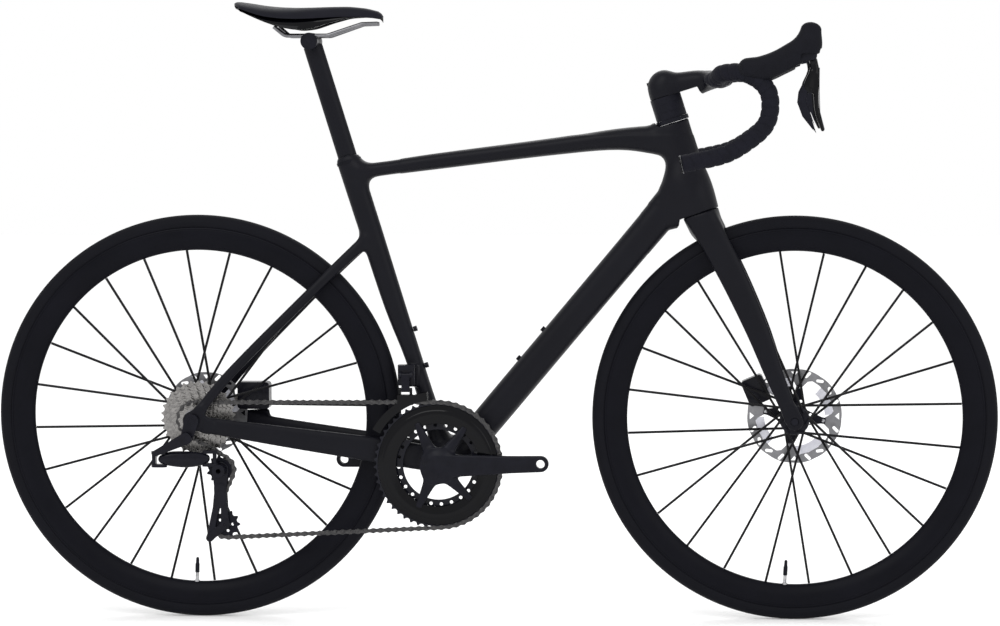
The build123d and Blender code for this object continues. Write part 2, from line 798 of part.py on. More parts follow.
lever_gap = 0.5
pivot_radius = 2.5
lever_outline = [
    (pivot_x - 5, pivot_z + 3),
    (pivot_x + 4, pivot_z + 5),
    (pivot_x + 9, pivot_z + 1),
    (pivot_x + 12, pivot_z - 20),
    (pivot_x + 12, pivot_z - 84),
    (pivot_x + 21, pivot_z - 115),
    (pivot_x + 15, pivot_z - 116),
    (pivot_x + 4, pivot_z - 88),
    (pivot_x + 1, pivot_z - 40),
    (pivot_x - 5, pivot_z - 28),
]


def lever_space(side):
    """The slot in the bracket that the lever swings in."""
    y = side * lever_y
    half = lever_half + lever_gap
    outline_plate(
        y + half,
        y - half,
        [
            (pivot_x - 13, pivot_z + 8),
            (pivot_x + 16, pivot_z + 8),
            (pivot_x + 30, pivot_z - 50),
            (pivot_x - 46, pivot_z - 60),
        ],
        mode=Mode.SUBTRACT,
    )


with BuildPart() as lever_brackets:
    for side in (-1, 1):
        outline_plate(side * lever_y + bracket_half, side * lever_y - bracket_half, bracket_outline)
    for side in (-1, 1):
        path = drop_path(side)
        with BuildSketch(Plane(origin=path @ 0, z_dir=path % 0)) as tape_section:
            Circle(bar_radius + tape_thickness + 2 * seat)
        sweep(tape_section.sketch, path=path, mode=Mode.SUBTRACT)
        lever_space(side)
        with Locations(Location((pivot_x, side * lever_y, pivot_z), (90, 0, 0))):
            Cylinder(pivot_radius + fit, 4 * bracket_half, mode=Mode.SUBTRACT)
lever_brackets.part.label = "lever_brackets"
export_step(lever_brackets.part, "parts/lever_brackets.step")

with BuildPart() as lever_hoods:
    for side in (-1, 1):
        outline_plate(side * lever_y + hood_half, side * lever_y - hood_half, hood_outline)
    fillet(lever_hoods.edges().filter_by(GeomType.LINE).filter_by(Plane.XZ), 5)
    for side in (-1, 1):
        outline_plate(
            side * lever_y + bracket_half + seat,
            side * lever_y - bracket_half - seat,
            [
                (hood_x + 41.7, bar_z + 36.4),
                (hood_x + 65.8, bar_z + 48.4),
                (hood_x + 83.7, bar_z + 80.5),
                (hood_x + 106.3, bar_z + 82.5),
                (hood_x + 114.4, bar_z + 54),
                (hood_x + 140, bar_z + 34),
                (hood_x + 140, bar_z - 20),
                (hood_x + 58, bar_z - 20),
            ],
            mode=Mode.SUBTRACT,
        )
        outline_plate(
            side * lever_y + 40,
            side * lever_y - 40,
            [
                (hood_x + 86, bar_z + 40),
                (hood_x + 118, bar_z + 40),
                (hood_x + 150, bar_z - 40),
                (hood_x + 86, bar_z - 40),
            ],
            mode=Mode.SUBTRACT,
        )
        path = drop_path(side)
        with BuildSketch(Plane(origin=path @ 0, z_dir=path % 0)) as tape_section:
            Circle(bar_radius + tape_thickness + 2 * seat)
        sweep(tape_section.sketch, path=path, mode=Mode.SUBTRACT)
lever_hoods.part.label = "lever_hoods"
export_step(lever_hoods.part, "parts/lever_hoods.step")

button_travel = 2.0
button_thickness = 4.0
button_pin_radius = 1.5
lug_outline = [
    (pivot_x - 4, pivot_z - 28),
    (pivot_x + 2, pivot_z - 36),
    (pivot_x + 2, pivot_z - 58),
    (pivot_x - 14, pivot_z - 46),
    (pivot_x - 14, pivot_z - 36),
]
button_pins = {"upshift": (pivot_x - 9, pivot_z - 41), "downshift": (pivot_x - 3, pivot_z - 50)}
upshift_outline = [
    (pivot_x - 6, pivot_z - 35),
    (pivot_x - 5, pivot_z - 44),
    (pivot_x - 11, pivot_z - 66),
    (pivot_x - 1, pivot_z - 94),
    (pivot_x + 7, pivot_z - 118),
    (pivot_x - 12, pivot_z - 94),
    (pivot_x - 21, pivot_z - 70),
    (pivot_x - 19, pivot_z - 52),
    (pivot_x - 12, pivot_z - 38),
]
downshift_outline = [
    (pivot_x - 1, pivot_z - 41),
    (pivot_x - 0.5, pivot_z - 60),
    (pivot_x + 2, pivot_z - 88),
    (pivot_x + 10, pivot_z - 111),
    (pivot_x + 2.5, pivot_z - 96),
    (pivot_x - 10, pivot_z - 66),
    (pivot_x - 4.5, pivot_z - 45),
]
for name, side in (("left", 1), ("right", -1)):
    y = side * lever_y
    inner = y - side * lever_half
    with BuildPart() as lever:
        outline_plate(y + lever_half, y - lever_half, lever_outline)
        # lug on the lever's inner side, which guides the two buttons
        outline_plate(inner, inner + side * 3.5, lug_outline)
        with Locations(Location((pivot_x, y, pivot_z), (90, 0, 0))):
            Cylinder(pivot_radius, 2 * bracket_half)
        for pin_x, pin_z in button_pins.values():
            with Locations(Location((pin_x, y, pin_z), (90, 0, 0))):
                Cylinder(button_pin_radius + fit, 6 * lever_half, mode=Mode.SUBTRACT)
    lever.part.label = name + "_brake_lever"
    export_step(lever.part, "parts/" + name + "_brake_lever.step")
    for button_name, outline in (("upshift", upshift_outline), ("downshift", downshift_outline)):
        pin_x, pin_z = button_pins[button_name]
        outer = inner + side * (3.5 + button_travel + 1 + button_thickness)
        with BuildPart() as button:
            outline_plate(outer, outer - side * button_thickness, outline)
            drum(pin_x, pin_z, button_pin_radius, outer - side * button_thickness, inner + side * 0.5)
        button.part.label = name + "_" + button_name + "_button"
        export_step(button.part, "parts/" + name + "_" + button_name + "_button.step")

# ---------------------------------------------------------------- wheels
flange_radius = 24.0
hole_radius = 21.0
spoke_side_step = 3.1


def wheel_plane(x):
    """A plane through the wheel's axis: its X is the radius, its Y runs across the bicycle."""
    return Plane(origin=(x, 0, axle_z), x_dir=(1, 0, 0), z_dir=(0, 0, 1))


def ring_of(x, points, mode=Mode.ADD):
    """A ring round the wheel's axis with a straight-sided section of (radius, y) points."""
    with BuildSketch(wheel_plane(x)) as section:
        with BuildLine():
            Polyline(*points, close=True)
        make_face()
    revolve(section.sketch, axis=across(x, axle_z), mode=mode)


def tyre_of(x):
    """A horseshoe section: the round casing, open where it sits on the rim."""
    tread_radius = tyre_radius - tyre_width / 2
    bead = rim_outer_radius + seat
    outer_y = ((tyre_width / 2) ** 2 - (bead - tread_radius) ** 2) ** 0.5
    inner_half = tyre_width / 2 - casing_wall
    inner_y = (inner_half**2 - (bead - tread_radius) ** 2) ** 0.5
    with BuildPart() as tyre:
        with BuildSketch(wheel_plane(x)) as section:
            with BuildLine():
                ThreePointArc((bead, -outer_y), (tyre_radius, 0), (bead, outer_y))
                Line((bead, outer_y), (bead, inner_y))
                ThreePointArc((bead, inner_y), (tyre_radius - casing_wall, 0), (bead, -inner_y))
                Line((bead, -inner_y), (bead, -outer_y))
            make_face()
        revolve(section.sketch, axis=across(x, axle_z))
    return tyre.part


def spoke_ends(number, phase, left_y, right_y):
    """Where a spoke leaves its flange, and where it meets the rim, as points about the wheel's axis."""
    angle = phase + 360 / spoke_count * number
    flange_y = left_y if number % 2 == 0 else right_y
    lead = 1 if number % 4 < 2 else -1
    hub_angle = angle + lead * 60
    hub = (
        hole_radius * cos(radians(hub_angle)),
        flange_y + lead * spoke_side_step,
        hole_radius * sin(radians(hub_angle)),
    )
    nose = rim_outer_radius - rim_depth
    rim_y = 1.5 if number % 2 == 0 else -1.5
    rim = (nose * cos(radians(angle)), rim_y, nose * sin(radians(angle)))
    return Vector(*hub), Vector(*rim)


def rim_of(x, phase, left_y, right_y, valve_angle):
    """An aero rim: hollow, with a tyre well, a hole for each nipple and one for the valve."""
    nose = rim_outer_radius - rim_depth
    half = rim_width / 2
    with BuildPart() as rim:
        ring_of(
            x,
            [
                (rim_outer_radius, -half),
                (rim_outer_radius - 12, -half - 0.4),
                (rim_outer_radius - 24, -half + 3),
                (nose + 3, -6),
                (nose, -3),
                (nose, 3),
                (nose + 3, 6),
                (rim_outer_radius - 24, half - 3),
                (rim_outer_radius - 12, half + 0.4),
                (rim_outer_radius, half),
                (rim_outer_radius, half - rim_wall),
                (rim_outer_radius - 7, half - rim_wall),
                (rim_outer_radius - 9, 0),
                (rim_outer_radius - 7, -half + rim_wall),
                (rim_outer_radius, -half + rim_wall),
            ],
        )
        ring_of(
            x,
            [
                (rim_outer_radius - 12, -half + rim_wall),
                (rim_outer_radius - 24, -half + 3 + rim_wall),
                (nose + 6, -3),
                (nose + 5, 0),
                (nose + 6, 3),
                (rim_outer_radius - 24, half - 3 - rim_wall),
                (rim_outer_radius - 12, half - rim_wall),
            ],
            mode=Mode.SUBTRACT,
        )
        for number in range(spoke_count):
            hub, end = spoke_ends(number, phase, left_y, right_y)
            along = (end - hub).normalized()
            origin = Vector(x, 0, axle_z) + end
            with BuildSketch(Plane(origin=origin - along * 4, z_dir=along)) as hole:
                Circle(nipple_radius + fit)
            extrude(hole.sketch, amount=14, mode=Mode.SUBTRACT)
        down = Vector(cos(radians(valve_angle)), 0, sin(radians(valve_angle)))
        with BuildSketch(Plane(origin=Vector(x, 0, axle_z) + down * (nose - 5), z_dir=down)) as valve_hole:
            Circle(3 + seat)
        extrude(valve_hole.sketch, amount=rim_depth, mode=Mode.SUBTRACT)
    return rim.part


def spokes_of(x, phase, left_y, right_y):
    """Straight spokes crossed two times, each with its nipple in the rim."""
    with BuildPart() as spokes:
        for number in range(spoke_count):
            hub, end = spoke_ends(number, phase, left_y, right_y)
            along = (end - hub).normalized()
            centre = Vector(x, 0, axle_z)
            length = (end - hub).length - nipple_length + 6
            with BuildSketch(Plane(origin=centre + hub, z_dir=along)) as wire:
                Circle(spoke_radius)
            extrude(wire.sketch, amount=length - fit)
            with BuildSketch(Plane(origin=centre + hub + along * length, z_dir=along)) as nipple:
                Circle(nipple_radius)
            extrude(nipple.sketch, amount=nipple_length)
    return spokes.part


def valve_of(x, angle):
    """The valve stem, from the tyre well through the rim towards the hub."""
    down = Vector(cos(radians(angle)), 0, sin(radians(angle)))
    well = rim_outer_radius - 6
    with BuildPart() as valve:
        with BuildSketch(Plane(origin=Vector(x, 0, axle_z) + down * well, z_dir=-down)) as stem:
            Circle(3)
        extrude(stem.sketch, amount=valve_length + rim_depth - 12)
    return valve.part


def hub_of(x, width, left_y, right_y, rotor_y, right_end_y):
    """The hub shell: two flanges on a tube, a seat for the rotor and a bore for the axle."""
    with BuildPart() as hub:
        drum(x, axle_z, 13, left_y, right_y)
        drum(x, axle_z, 9, width / 2 - 0.2, -width / 2 + 0.2)
        drum(x, axle_z, 12, 0, right_end_y)
        drum(x, axle_z, 17, rotor_y - 4, rotor_y + 2)
        drum(x, axle_z, 15, left_y, rotor_y - 3)
        for flange_y in (left_y, right_y):
            drum(x, axle_z, flange_radius, flange_y - 1.5, flange_y + 1.5)
        drum(x, axle_z, axle_radius + fit, 100, -100, mode=Mode.SUBTRACT)
    return hub.part


def rotor_of(x, radius, y):
    """A brake rotor: the braking ring, an inner ring on the hub, and four arms between."""
    half = rotor_thickness / 2
    with BuildPart() as rotor:
        drum(x, axle_z, radius, y + half, y - half)
        drum(x, axle_z, radius - rotor_band, 100, -100, mode=Mode.SUBTRACT)
        drum(x, axle_z, 25, y + half, y - half)
        for number in range(4):
            arm_angle = 36 + 90 * number
            middle = radius / 2
            with BuildSketch(side_plane(y + half, x, axle_z)) as arm:
                with Locations(
                    Location(
                        (middle * cos(radians(arm_angle)), middle * sin(radians(arm_angle)), 0),
                        arm_angle,
                    )
                ):
                    Rectangle(radius - rotor_band + 4, 14)
            extrude(arm.sketch, amount=rotor_thickness)
        drum(x, axle_z, 17 + seat, 100, -100, mode=Mode.SUBTRACT)
    return rotor.part


wheels = {
    "front": dict(
        x=front_x,
        phase=front_spoke_phase,
        valve=front_valve_angle,
        left=21.0,
        right=-31.0,
        width=front_hub_width,
        rotor_y=front_rotor_y,
        rotor_radius=front_rotor_radius,
        right_end=-40.0,
    ),
    "rear": dict(
        x=rear_x,
        phase=rear_spoke_phase,
        valve=rear_valve_angle,
        left=33.0,
        right=-14.0,
        width=rear_hub_width,
        rotor_y=rear_rotor_y,
        rotor_radius=rear_rotor_radius,
        right_end=-65.0,
    ),
}
for name, w in wheels.items():
    pieces = {
        "tyre": tyre_of(w["x"]),
        "rim": rim_of(w["x"], w["phase"], w["left"], w["right"], w["valve"]),
        "spokes": spokes_of(w["x"], w["phase"], w["left"], w["right"]),
        "valve": valve_of(w["x"], w["valve"]),
        "hub": hub_of(w["x"], w["width"], w["left"], w["right"], w["rotor_y"], w["right_end"]),
        "rotor": rotor_of(w["x"], w["rotor_radius"], w["rotor_y"]),
    }
    for piece, solid in pieces.items():
        solid.label = name + "_" + piece
        export_step(solid, "parts/" + name + "_" + piece + ".step")

# ---------------------------------------------------------------- cassette
with BuildPart() as cassette:
    drum(rear_x, axle_z, 18, first_cog_y - 2, first_cog_y + cog_pitch * (len(cog_teeth) - 1) + 2)
    for number, teeth in enumerate(cog_teeth):
        middle = first_cog_y + cog_pitch * number
        radius = pitch_radius(teeth) + tooth_height
        drum(rear_x, axle_z, radius, middle - cog_thickness / 2, middle + cog_thickness / 2)
    drum(rear_x, axle_z, 12 + fit, 0, -100, mode=Mode.SUBTRACT)
cassette.part.label = "cassette"
export_step(cassette.part, "parts/cassette.step")

# ---------------------------------------------------------------- crankset
crank_outer_y = crank_inner_y + crank_arm_thickness
pedal_x = crank_length * cos(radians(crank_angle))
pedal_z = crank_length * sin(radians(crank_angle))
ring_face_y = chain_y - ring_thickness / 2
small_ring_radius = pitch_radius(small_ring_teeth)
big_ring_radius = pitch_radius(big_ring_teeth)
spider_radius = small_ring_radius + 12
post_circle = small_ring_radius - 11
arm_angles = (15.0, 95.0, 165.0, 285.0)
with BuildPart() as drive_crank:
    drum(bracket_x, bracket_z, spindle_radius, -crank_outer_y + 2, crank_outer_y - 4)
    drum(bracket_x, bracket_z, 17, -bracket_shell_width / 2 - 4 - clear, -crank_inner_y)
    flat_plate(
        -crank_inner_y,
        -crank_outer_y,
        [(bracket_x, bracket_z, 20), (bracket_x + pedal_x, bracket_z + pedal_z, 14)],
    )
    # four-armed spider, which carries both chainrings
    drum(bracket_x, bracket_z, 30, ring_face_y - 6, -crank_inner_y)
    for angle in arm_angles:
        tip = (
            bracket_x + (spider_radius - 8) * cos(radians(angle)),
            bracket_z + (spider_radius - 8) * sin(radians(angle)),
        )
        post = (
            bracket_x + post_circle * cos(radians(angle)),
            bracket_z + post_circle * sin(radians(angle)),
        )
        flat_plate(
            ring_face_y - seat, ring_face_y - 6, [(bracket_x, bracket_z, 22), (tip[0], tip[1], 8)]
        )
        drum(*post, 4, ring_face_y - 2, small_ring_y - ring_thickness / 2 - seat)
    drum(
        bracket_x + pedal_x,
        bracket_z + pedal_z,
        pedal_thread_radius,
        -crank_inner_y + 1,
        -crank_outer_y - 1,
        mode=Mode.SUBTRACT,
    )
drive_crank.part.label = "drive_crank"
export_step(drive_crank.part, "parts/drive_crank.step")

with BuildPart() as left_crank:
    drum(bracket_x, bracket_z, 17, bracket_shell_width / 2 + 4 + clear, crank_inner_y)
    flat_plate(
        crank_inner_y,
        crank_outer_y,
        [(bracket_x, bracket_z, 20), (bracket_x - pedal_x, bracket_z - pedal_z, 14)],
    )
    drum(bracket_x, bracket_z, spindle_radius + seat, 0, 100, mode=Mode.SUBTRACT)
    drum(
        bracket_x - pedal_x,
        bracket_z - pedal_z,
        pedal_thread_radius,
        crank_inner_y - 1,
        crank_outer_y + 1,
        mode=Mode.SUBTRACT,
    )
left_crank.part.label = "left_crank"
export_step(left_crank.part, "parts/left_crank.step")

with BuildPart() as chainrings:
    for radius, bore, y in (
        (big_ring_radius, small_ring_radius - 3, chain_y),
        (small_ring_radius, small_ring_radius - 18, small_ring_y),
    ):
        with BuildSketch(side_plane(y + ring_thickness / 2, bracket_x, bracket_z)) as ring:
            Circle(radius + tooth_height)
            Circle(bore, mode=Mode.SUBTRACT)
        extrude(ring.sketch, amount=ring_thickness)
chainrings.part.label = "chainrings"
export_step(chainrings.part, "parts/chainrings.step")

# ---------------------------------------------------------------- chain
# The chain runs clockwise, seen from the drive side: off the bottom of the ring, round the lower
# pulley, back round the upper pulley, up behind the cassette and forwards to the top of the ring.
# Each wheel is centre, radius and sense: +1 where the chain turns clockwise, -1 where it turns back.
chain_wheels = [
    ((bracket_x, bracket_z), big_ring_radius, 1),
    ((tension_x, tension_z), pitch_radius(pulley_teeth), 1),
    ((guide_x, guide_z), pitch_radius(pulley_teeth), -1),
    ((rear_x, axle_z), pitch_radius(cog_teeth[engaged_cog]), 1),
]


def tangent(first, second):
    """The straight run from one chain wheel to the next, as two points."""
    (ax, az), ar, a_sense = first
    (bx, bz), br, b_sense = second
    gap = hypot(bx - ax, bz - az)
    heading = atan2(bz - az, bx - ax) - asin((a_sense * ar - b_sense * br) / gap)
    left = (-sin(heading), cos(heading))
    start = (ax + left[0] * a_sense * ar, az + left[1] * a_sense * ar)
    end = (bx + left[0] * b_sense * br, bz + left[1] * b_sense * br)
    return start, end


def arc_middle(wheel, arrive, leave):
    """The point halfway round a wheel between where the chain arrives and where it leaves."""
    (x, z), radius, sense = wheel
    first = atan2(arrive[1] - z, arrive[0] - x)
    last = atan2(leave[1] - z, leave[0] - x)
    turn = (first - last) * sense % (2 * pi)
    middle = first - sense * turn / 2
    return (x + radius * cos(middle), z + radius * sin(middle))


runs = [tangent(chain_wheels[i], chain_wheels[(i + 1) % 4]) for i in range(4)]
with BuildPart() as chain:
    for plate_y in (chain_y + 1.9, chain_y - 1.9):
        with BuildSketch(side_plane(plate_y + 0.7)) as band:
            with BuildLine():
                for i in range(4):
                    start, end = runs[i]
                    Line(start, end)
                    next_start = runs[(i + 1) % 4][0]
                    wheel = chain_wheels[(i + 1) % 4]
                    ThreePointArc(end, arc_middle(wheel, end, next_start), next_start)
            make_face()
            route = band.faces()[0]
            offset(amount=plate_half, kind=Kind.INTERSECTION)
            offset(route, amount=-plate_half, kind=Kind.INTERSECTION, mode=Mode.SUBTRACT)
        extrude(band.sketch, amount=1.4)
chain.part.label = "chain"
export_step(chain.part, "parts/chain.step")

# ---------------------------------------------------------------- front derailleur
link_top = (-47.0, 414.0)
link_bottom = (-50.5, 389.0)
derailleur_x = (-158.0, -136.0)
link_half = 3.2
link_swing = radians(17)
pin_radius = 1.5


def fore_aft_plate(x_from, x_to, circles, mode=Mode.ADD):
    """A plate square to the bicycle's length round a set of circles (y, z, radius)."""
    with BuildSketch(Plane(origin=(x_from, 0, 0), x_dir=(0, 1, 0), z_dir=(1, 0, 0))) as section:
        for y, z, radius in circles:
            with Locations((y, z)):
                Circle(radius)
        if len(circles) > 1:
            make_hull()
    extrude(section.sketch, amount=x_to - x_from, mode=mode)


with BuildPart() as front_derailleur:
    with BuildSketch(Plane.XY.offset(396)):
        with Locations((-147, -33)):
            RectangleRounded(28, 20 - 2 * seat, 4)
    extrude(amount=34)
    for x_from, x_to in ((derailleur_x[0], derailleur_x[0] + 4), (derailleur_x[1] - 4, derailleur_x[1])):
        fore_aft_plate(x_from, x_to, [(-38, 414, 5), (*link_top, 5)])
    fore_aft_plate(
        derailleur_x[0] - 1, derailleur_x[1] + 1, [(*link_top, pin_radius + fit)], mode=Mode.SUBTRACT
    )
    # room for the link to swing in, towards the frame
    reach_y, reach_z = link_bottom[0] - link_top[0], link_bottom[1] - link_top[1]
    swung = (
        link_top[0] + reach_y * cos(link_swing) - reach_z * sin(link_swing),
        link_top[1] + reach_y * sin(link_swing) + reach_z * cos(link_swing),
    )
    fore_aft_plate(
        derailleur_x[0] + 4,
        derailleur_x[1] - 4,
        [(y, z, link_half + 2 * clear) for y, z in (link_top, link_bottom, swung)],
        mode=Mode.SUBTRACT,
    )
front_derailleur.part.label = "front_derailleur"
export_step(front_derailleur.part, "parts/front_derailleur.step")

with BuildPart() as front_derailleur_link:
    fore_aft_plate(
        derailleur_x[0] + 4.3, derailleur_x[1] - 4.3, [(*link_top, link_half), (*link_bottom, link_half)]
    )
    for y, z in (link_top, link_bottom):
        with Locations(Location(((derailleur_x[0] + derailleur_x[1]) / 2, y, z), (0, 90, 0))):
            Cylinder(pin_radius, derailleur_x[1] - derailleur_x[0])
front_derailleur_link.part.label = "front_derailleur_link"
export_step(front_derailleur_link.part, "parts/front_derailleur_link.step")

cage_inner_radius = big_ring_radius + tooth_height + 2.2
cage_outer_radius = cage_inner_radius + 14
cage_arc = (98.0, 151.0)
bridge_z = 379.0
with BuildPart() as front_derailleur_cage:
    for y_from, y_to in ((chain_y + 4.5, chain_y + 6.0), (chain_y - 6.0, chain_y - 4.5)):
        with BuildSketch(side_plane(y_to, bracket_x, bracket_z)) as cage_plate:
            with BuildLine():
                middle_angle = sum(cage_arc) / 2
                corners = [
                    (radius * cos(radians(angle)), radius * sin(radians(angle)))
                    for radius in (cage_inner_radius, cage_outer_radius)
                    for angle in (cage_arc[0], middle_angle, cage_arc[1])
                ]
                ThreePointArc(corners[0], corners[1], corners[2])
                Line(corners[2], corners[5])
                ThreePointArc(corners[5], corners[4], corners[3])
                Line(corners[3], corners[0])
            make_face()
        extrude(cage_plate.sketch, amount=1.5)
    # tail bridge that joins the plates behind the chain, and the ears that hang on the link
    tail = (
        bracket_x + (cage_outer_radius - 3) * cos(radians(cage_arc[1] - 2)),
        bracket_z + (cage_outer_radius - 3) * sin(radians(cage_arc[1] - 2)),
    )
    drum(*tail, 2.5, chain_y - 6, chain_y + 6)
    for x_from, x_to in ((derailleur_x[0], derailleur_x[0] + 4), (derailleur_x[1] - 4, derailleur_x[1])):
        fore_aft_plate(x_from, x_to, [(*link_bottom, 4), (chain_y - 1, bridge_z, 2)])
        fore_aft_plate(x_from, x_to, [(chain_y - 5, bridge_z, 1.0), (chain_y + 5, bridge_z, 1.0)])
    for y_from in (chain_y + 4.5, chain_y - 6.0):
        flat_plate(
            y_from,
            y_from + 1.5,
            [(x, bridge_z, 2.5) for x in derailleur_x] + [(x, bridge_z - 12, 2.5) for x in derailleur_x],
        )
    fore_aft_plate(
        derailleur_x[0] - 1, derailleur_x[1] + 1, [(*link_bottom, pin_radius + fit)], mode=Mode.SUBTRACT
    )
front_derailleur_cage.part.label = "front_derailleur_cage"
export_step(front_derailleur_cage.part, "parts/front_derailleur_cage.step")

# ---------------------------------------------------------------- rear derailleur
mount_pivot = (-548.0, -84.0)
knuckle_pivot = (-478.0, -70.0)
link_z = (268.0, 284.0)
ear_thickness = 5.0
rear_pin_radius = 2.5


def flat_slab(z_from, z_to, circles, mode=Mode.ADD):
    """A level plate round a set of circles (x, y, radius)."""
    with BuildSketch(Plane.XY.offset(z_from)) as section:
        for x, y, radius in circles:
            with Locations((x, y)):
                Circle(radius)
        if len(circles) > 1:
            make_hull()
    extrude(section.sketch, amount=z_to - z_from, mode=mode)


with BuildPart() as rear_derailleur_mount:
    hanger_face = -rear_hub_width / 2 - dropout_thickness - 7
    flat_plate(
        hanger_face - clear / 2,
        hanger_face - 10,
        [(hanger_x, hanger_z, 10), (mount_pivot[0] - 10, link_z[1] + 3, 5)],
    )
    drum(hanger_x, hanger_z, 5, hanger_face + 6, hanger_face - 5)
    for z_from, z_to in (
        (link_z[0] - ear_thickness - 0.3, link_z[0] - 0.3),
        (link_z[1] + 0.3, link_z[1] + 0.3 + ear_thickness),
    ):
        flat_slab(z_from, z_to, [(*mount_pivot, 7), (mount_pivot[0] - 12, mount_pivot[1], 7)])
    with BuildSketch(Plane.XY.offset(link_z[0] - 2)):
        with Locations((mount_pivot[0] - 14, mount_pivot[1])):
            Rectangle(6, 12)
    extrude(amount=link_z[1] - link_z[0] + 4)
    # room for the link to swing, and the bores for its pin
    flat_slab(
        link_z[0] - 0.3,
        link_z[1] + 0.3,
        [(*mount_pivot, 8.5), (mount_pivot[0] + 60, mount_pivot[1] + 12, 30)],
        mode=Mode.SUBTRACT,
    )
    flat_slab(
        link_z[0] - 20, link_z[1] + 20, [(*mount_pivot, rear_pin_radius + fit)], mode=Mode.SUBTRACT
    )
rear_derailleur_mount.part.label = "rear_derailleur_mount"
export_step(rear_derailleur_mount.part, "parts/rear_derailleur_mount.step")

with BuildPart() as rear_derailleur_link:
    flat_slab(*link_z, [(*mount_pivot, 7), (*knuckle_pivot, 7)])
    for x, y in (mount_pivot, knuckle_pivot):
        flat_slab(link_z[0] - ear_thickness, link_z[1] + ear_thickness, [(x, y, rear_pin_radius)])
rear_derailleur_link.part.label = "rear_derailleur_link"
export_step(rear_derailleur_link.part, "parts/rear_derailleur_link.step")

cage_plate_gap = 4.5
cage_plate = 2.0
cage_outside_y = chain_y - cage_plate_gap - cage_plate
with BuildPart() as rear_derailleur_knuckle:
    for z_from, z_to in (
        (link_z[0] - ear_thickness - 0.3, link_z[0] - 0.3),
        (link_z[1] + 0.3, link_z[1] + 0.3 + ear_thickness),
    ):
        flat_slab(z_from, z_to, [(*knuckle_pivot, 7), (knuckle_pivot[0] + 14, knuckle_pivot[1], 6)])
    flat_slab(
        link_z[0] - 2,
        link_z[1] + 2,
        [
            (knuckle_pivot[0] + 14, knuckle_pivot[1] - 2, 3),
            (knuckle_pivot[0] + 14, knuckle_pivot[1] + 2, 3),
        ],
    )
    drum(guide_x, guide_z, 10.5, cage_outside_y - clear, knuckle_pivot[1] - 6)
    drum(guide_x, guide_z, 4 + fit, 0, -100, mode=Mode.SUBTRACT)
    flat_slab(
        link_z[0] - 20, link_z[1] + 20, [(*knuckle_pivot, rear_pin_radius + fit)], mode=Mode.SUBTRACT
    )
rear_derailleur_knuckle.part.label = "rear_derailleur_knuckle"
export_step(rear_derailleur_knuckle.part, "parts/rear_derailleur_knuckle.step")

with BuildPart() as rear_derailleur_cage:
    for y_from in (chain_y + cage_plate_gap, cage_outside_y):
        flat_plate(
            y_from,
            y_from + cage_plate,
            [(guide_x, guide_z, 10), (tension_x, tension_z, 12)],
        )
    for x, z in ((guide_x, guide_z), (tension_x, tension_z)):
        drum(x, z, rear_pin_radius, cage_outside_y, chain_y + cage_plate_gap + cage_plate)
    drum(guide_x, guide_z, 4, cage_outside_y, knuckle_pivot[1] - 4)
rear_derailleur_cage.part.label = "rear_derailleur_cage"
export_step(rear_derailleur_cage.part, "parts/rear_derailleur_cage.step")

for name, x, z in (("guide", guide_x, guide_z), ("tension", tension_x, tension_z)):
    with BuildPart() as pulley:
        drum(x, z, pitch_radius(pulley_teeth) + tooth_height - 0.3, chain_y - 1, chain_y + 1)
        drum(x, z, 15, chain_y - 3.5, chain_y + 3.5)
        drum(x, z, rear_pin_radius + fit, 0, -100, mode=Mode.SUBTRACT)
    pulley.part.label = name + "_pulley"
    export_step(pulley.part, "parts/" + name + "_pulley.step")
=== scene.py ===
import bpy, bmesh, json, math
import numpy as np
import openvdb
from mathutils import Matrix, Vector


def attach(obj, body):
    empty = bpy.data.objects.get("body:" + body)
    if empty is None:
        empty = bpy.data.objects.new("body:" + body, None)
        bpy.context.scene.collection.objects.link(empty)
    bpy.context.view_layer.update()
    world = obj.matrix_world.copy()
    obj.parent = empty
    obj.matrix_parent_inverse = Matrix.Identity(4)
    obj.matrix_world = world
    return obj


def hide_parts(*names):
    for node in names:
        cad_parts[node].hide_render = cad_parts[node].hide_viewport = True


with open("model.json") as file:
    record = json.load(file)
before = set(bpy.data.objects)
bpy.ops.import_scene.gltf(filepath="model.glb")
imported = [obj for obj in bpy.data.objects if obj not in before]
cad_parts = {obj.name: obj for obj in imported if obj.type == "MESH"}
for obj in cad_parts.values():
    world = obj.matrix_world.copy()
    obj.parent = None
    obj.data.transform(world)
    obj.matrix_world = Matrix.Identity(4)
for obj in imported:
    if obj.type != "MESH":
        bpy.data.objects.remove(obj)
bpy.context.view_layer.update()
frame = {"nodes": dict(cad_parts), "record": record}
MM = 0.001
front_x, rear_x, axle_z = 499.5, -499.5, 339.0
bracket_x, bracket_z = -94.0, 264.0

# ---------------------------------------------------------------- frame
# The frame is one moulding of carbon fibre: tubes laid up round bladders and cured together, so every joint
# runs into the next in one hollow curve. It is rubbed down and sprayed with a thin, slightly blue-black
# matt lacquer.


def smooth_route(points, steps):
    """Stations between the given ones on a Catmull-Rom curve: each span is a cubic that leaves and
    reaches its ends along the line between their neighbours. Columns past the third, such as
    width and depth, are carried along in the same way."""
    p = np.array(points, float)
    p = np.vstack([2 * p[0] - p[1], p, 2 * p[-1] - p[-2]])
    t = np.arange(steps)[:, None] / steps
    spans = [
        0.5 * (2 * b + (c - a) * t + (2 * a - 5 * b + 4 * c - d) * t**2 + (3 * b - a - 3 * c + d) * t**3)
        for a, b, c, d in zip(p[:-3], p[1:-2], p[2:-1], p[3:])
    ]
    return np.vstack(spans + [p[-2:-1]])


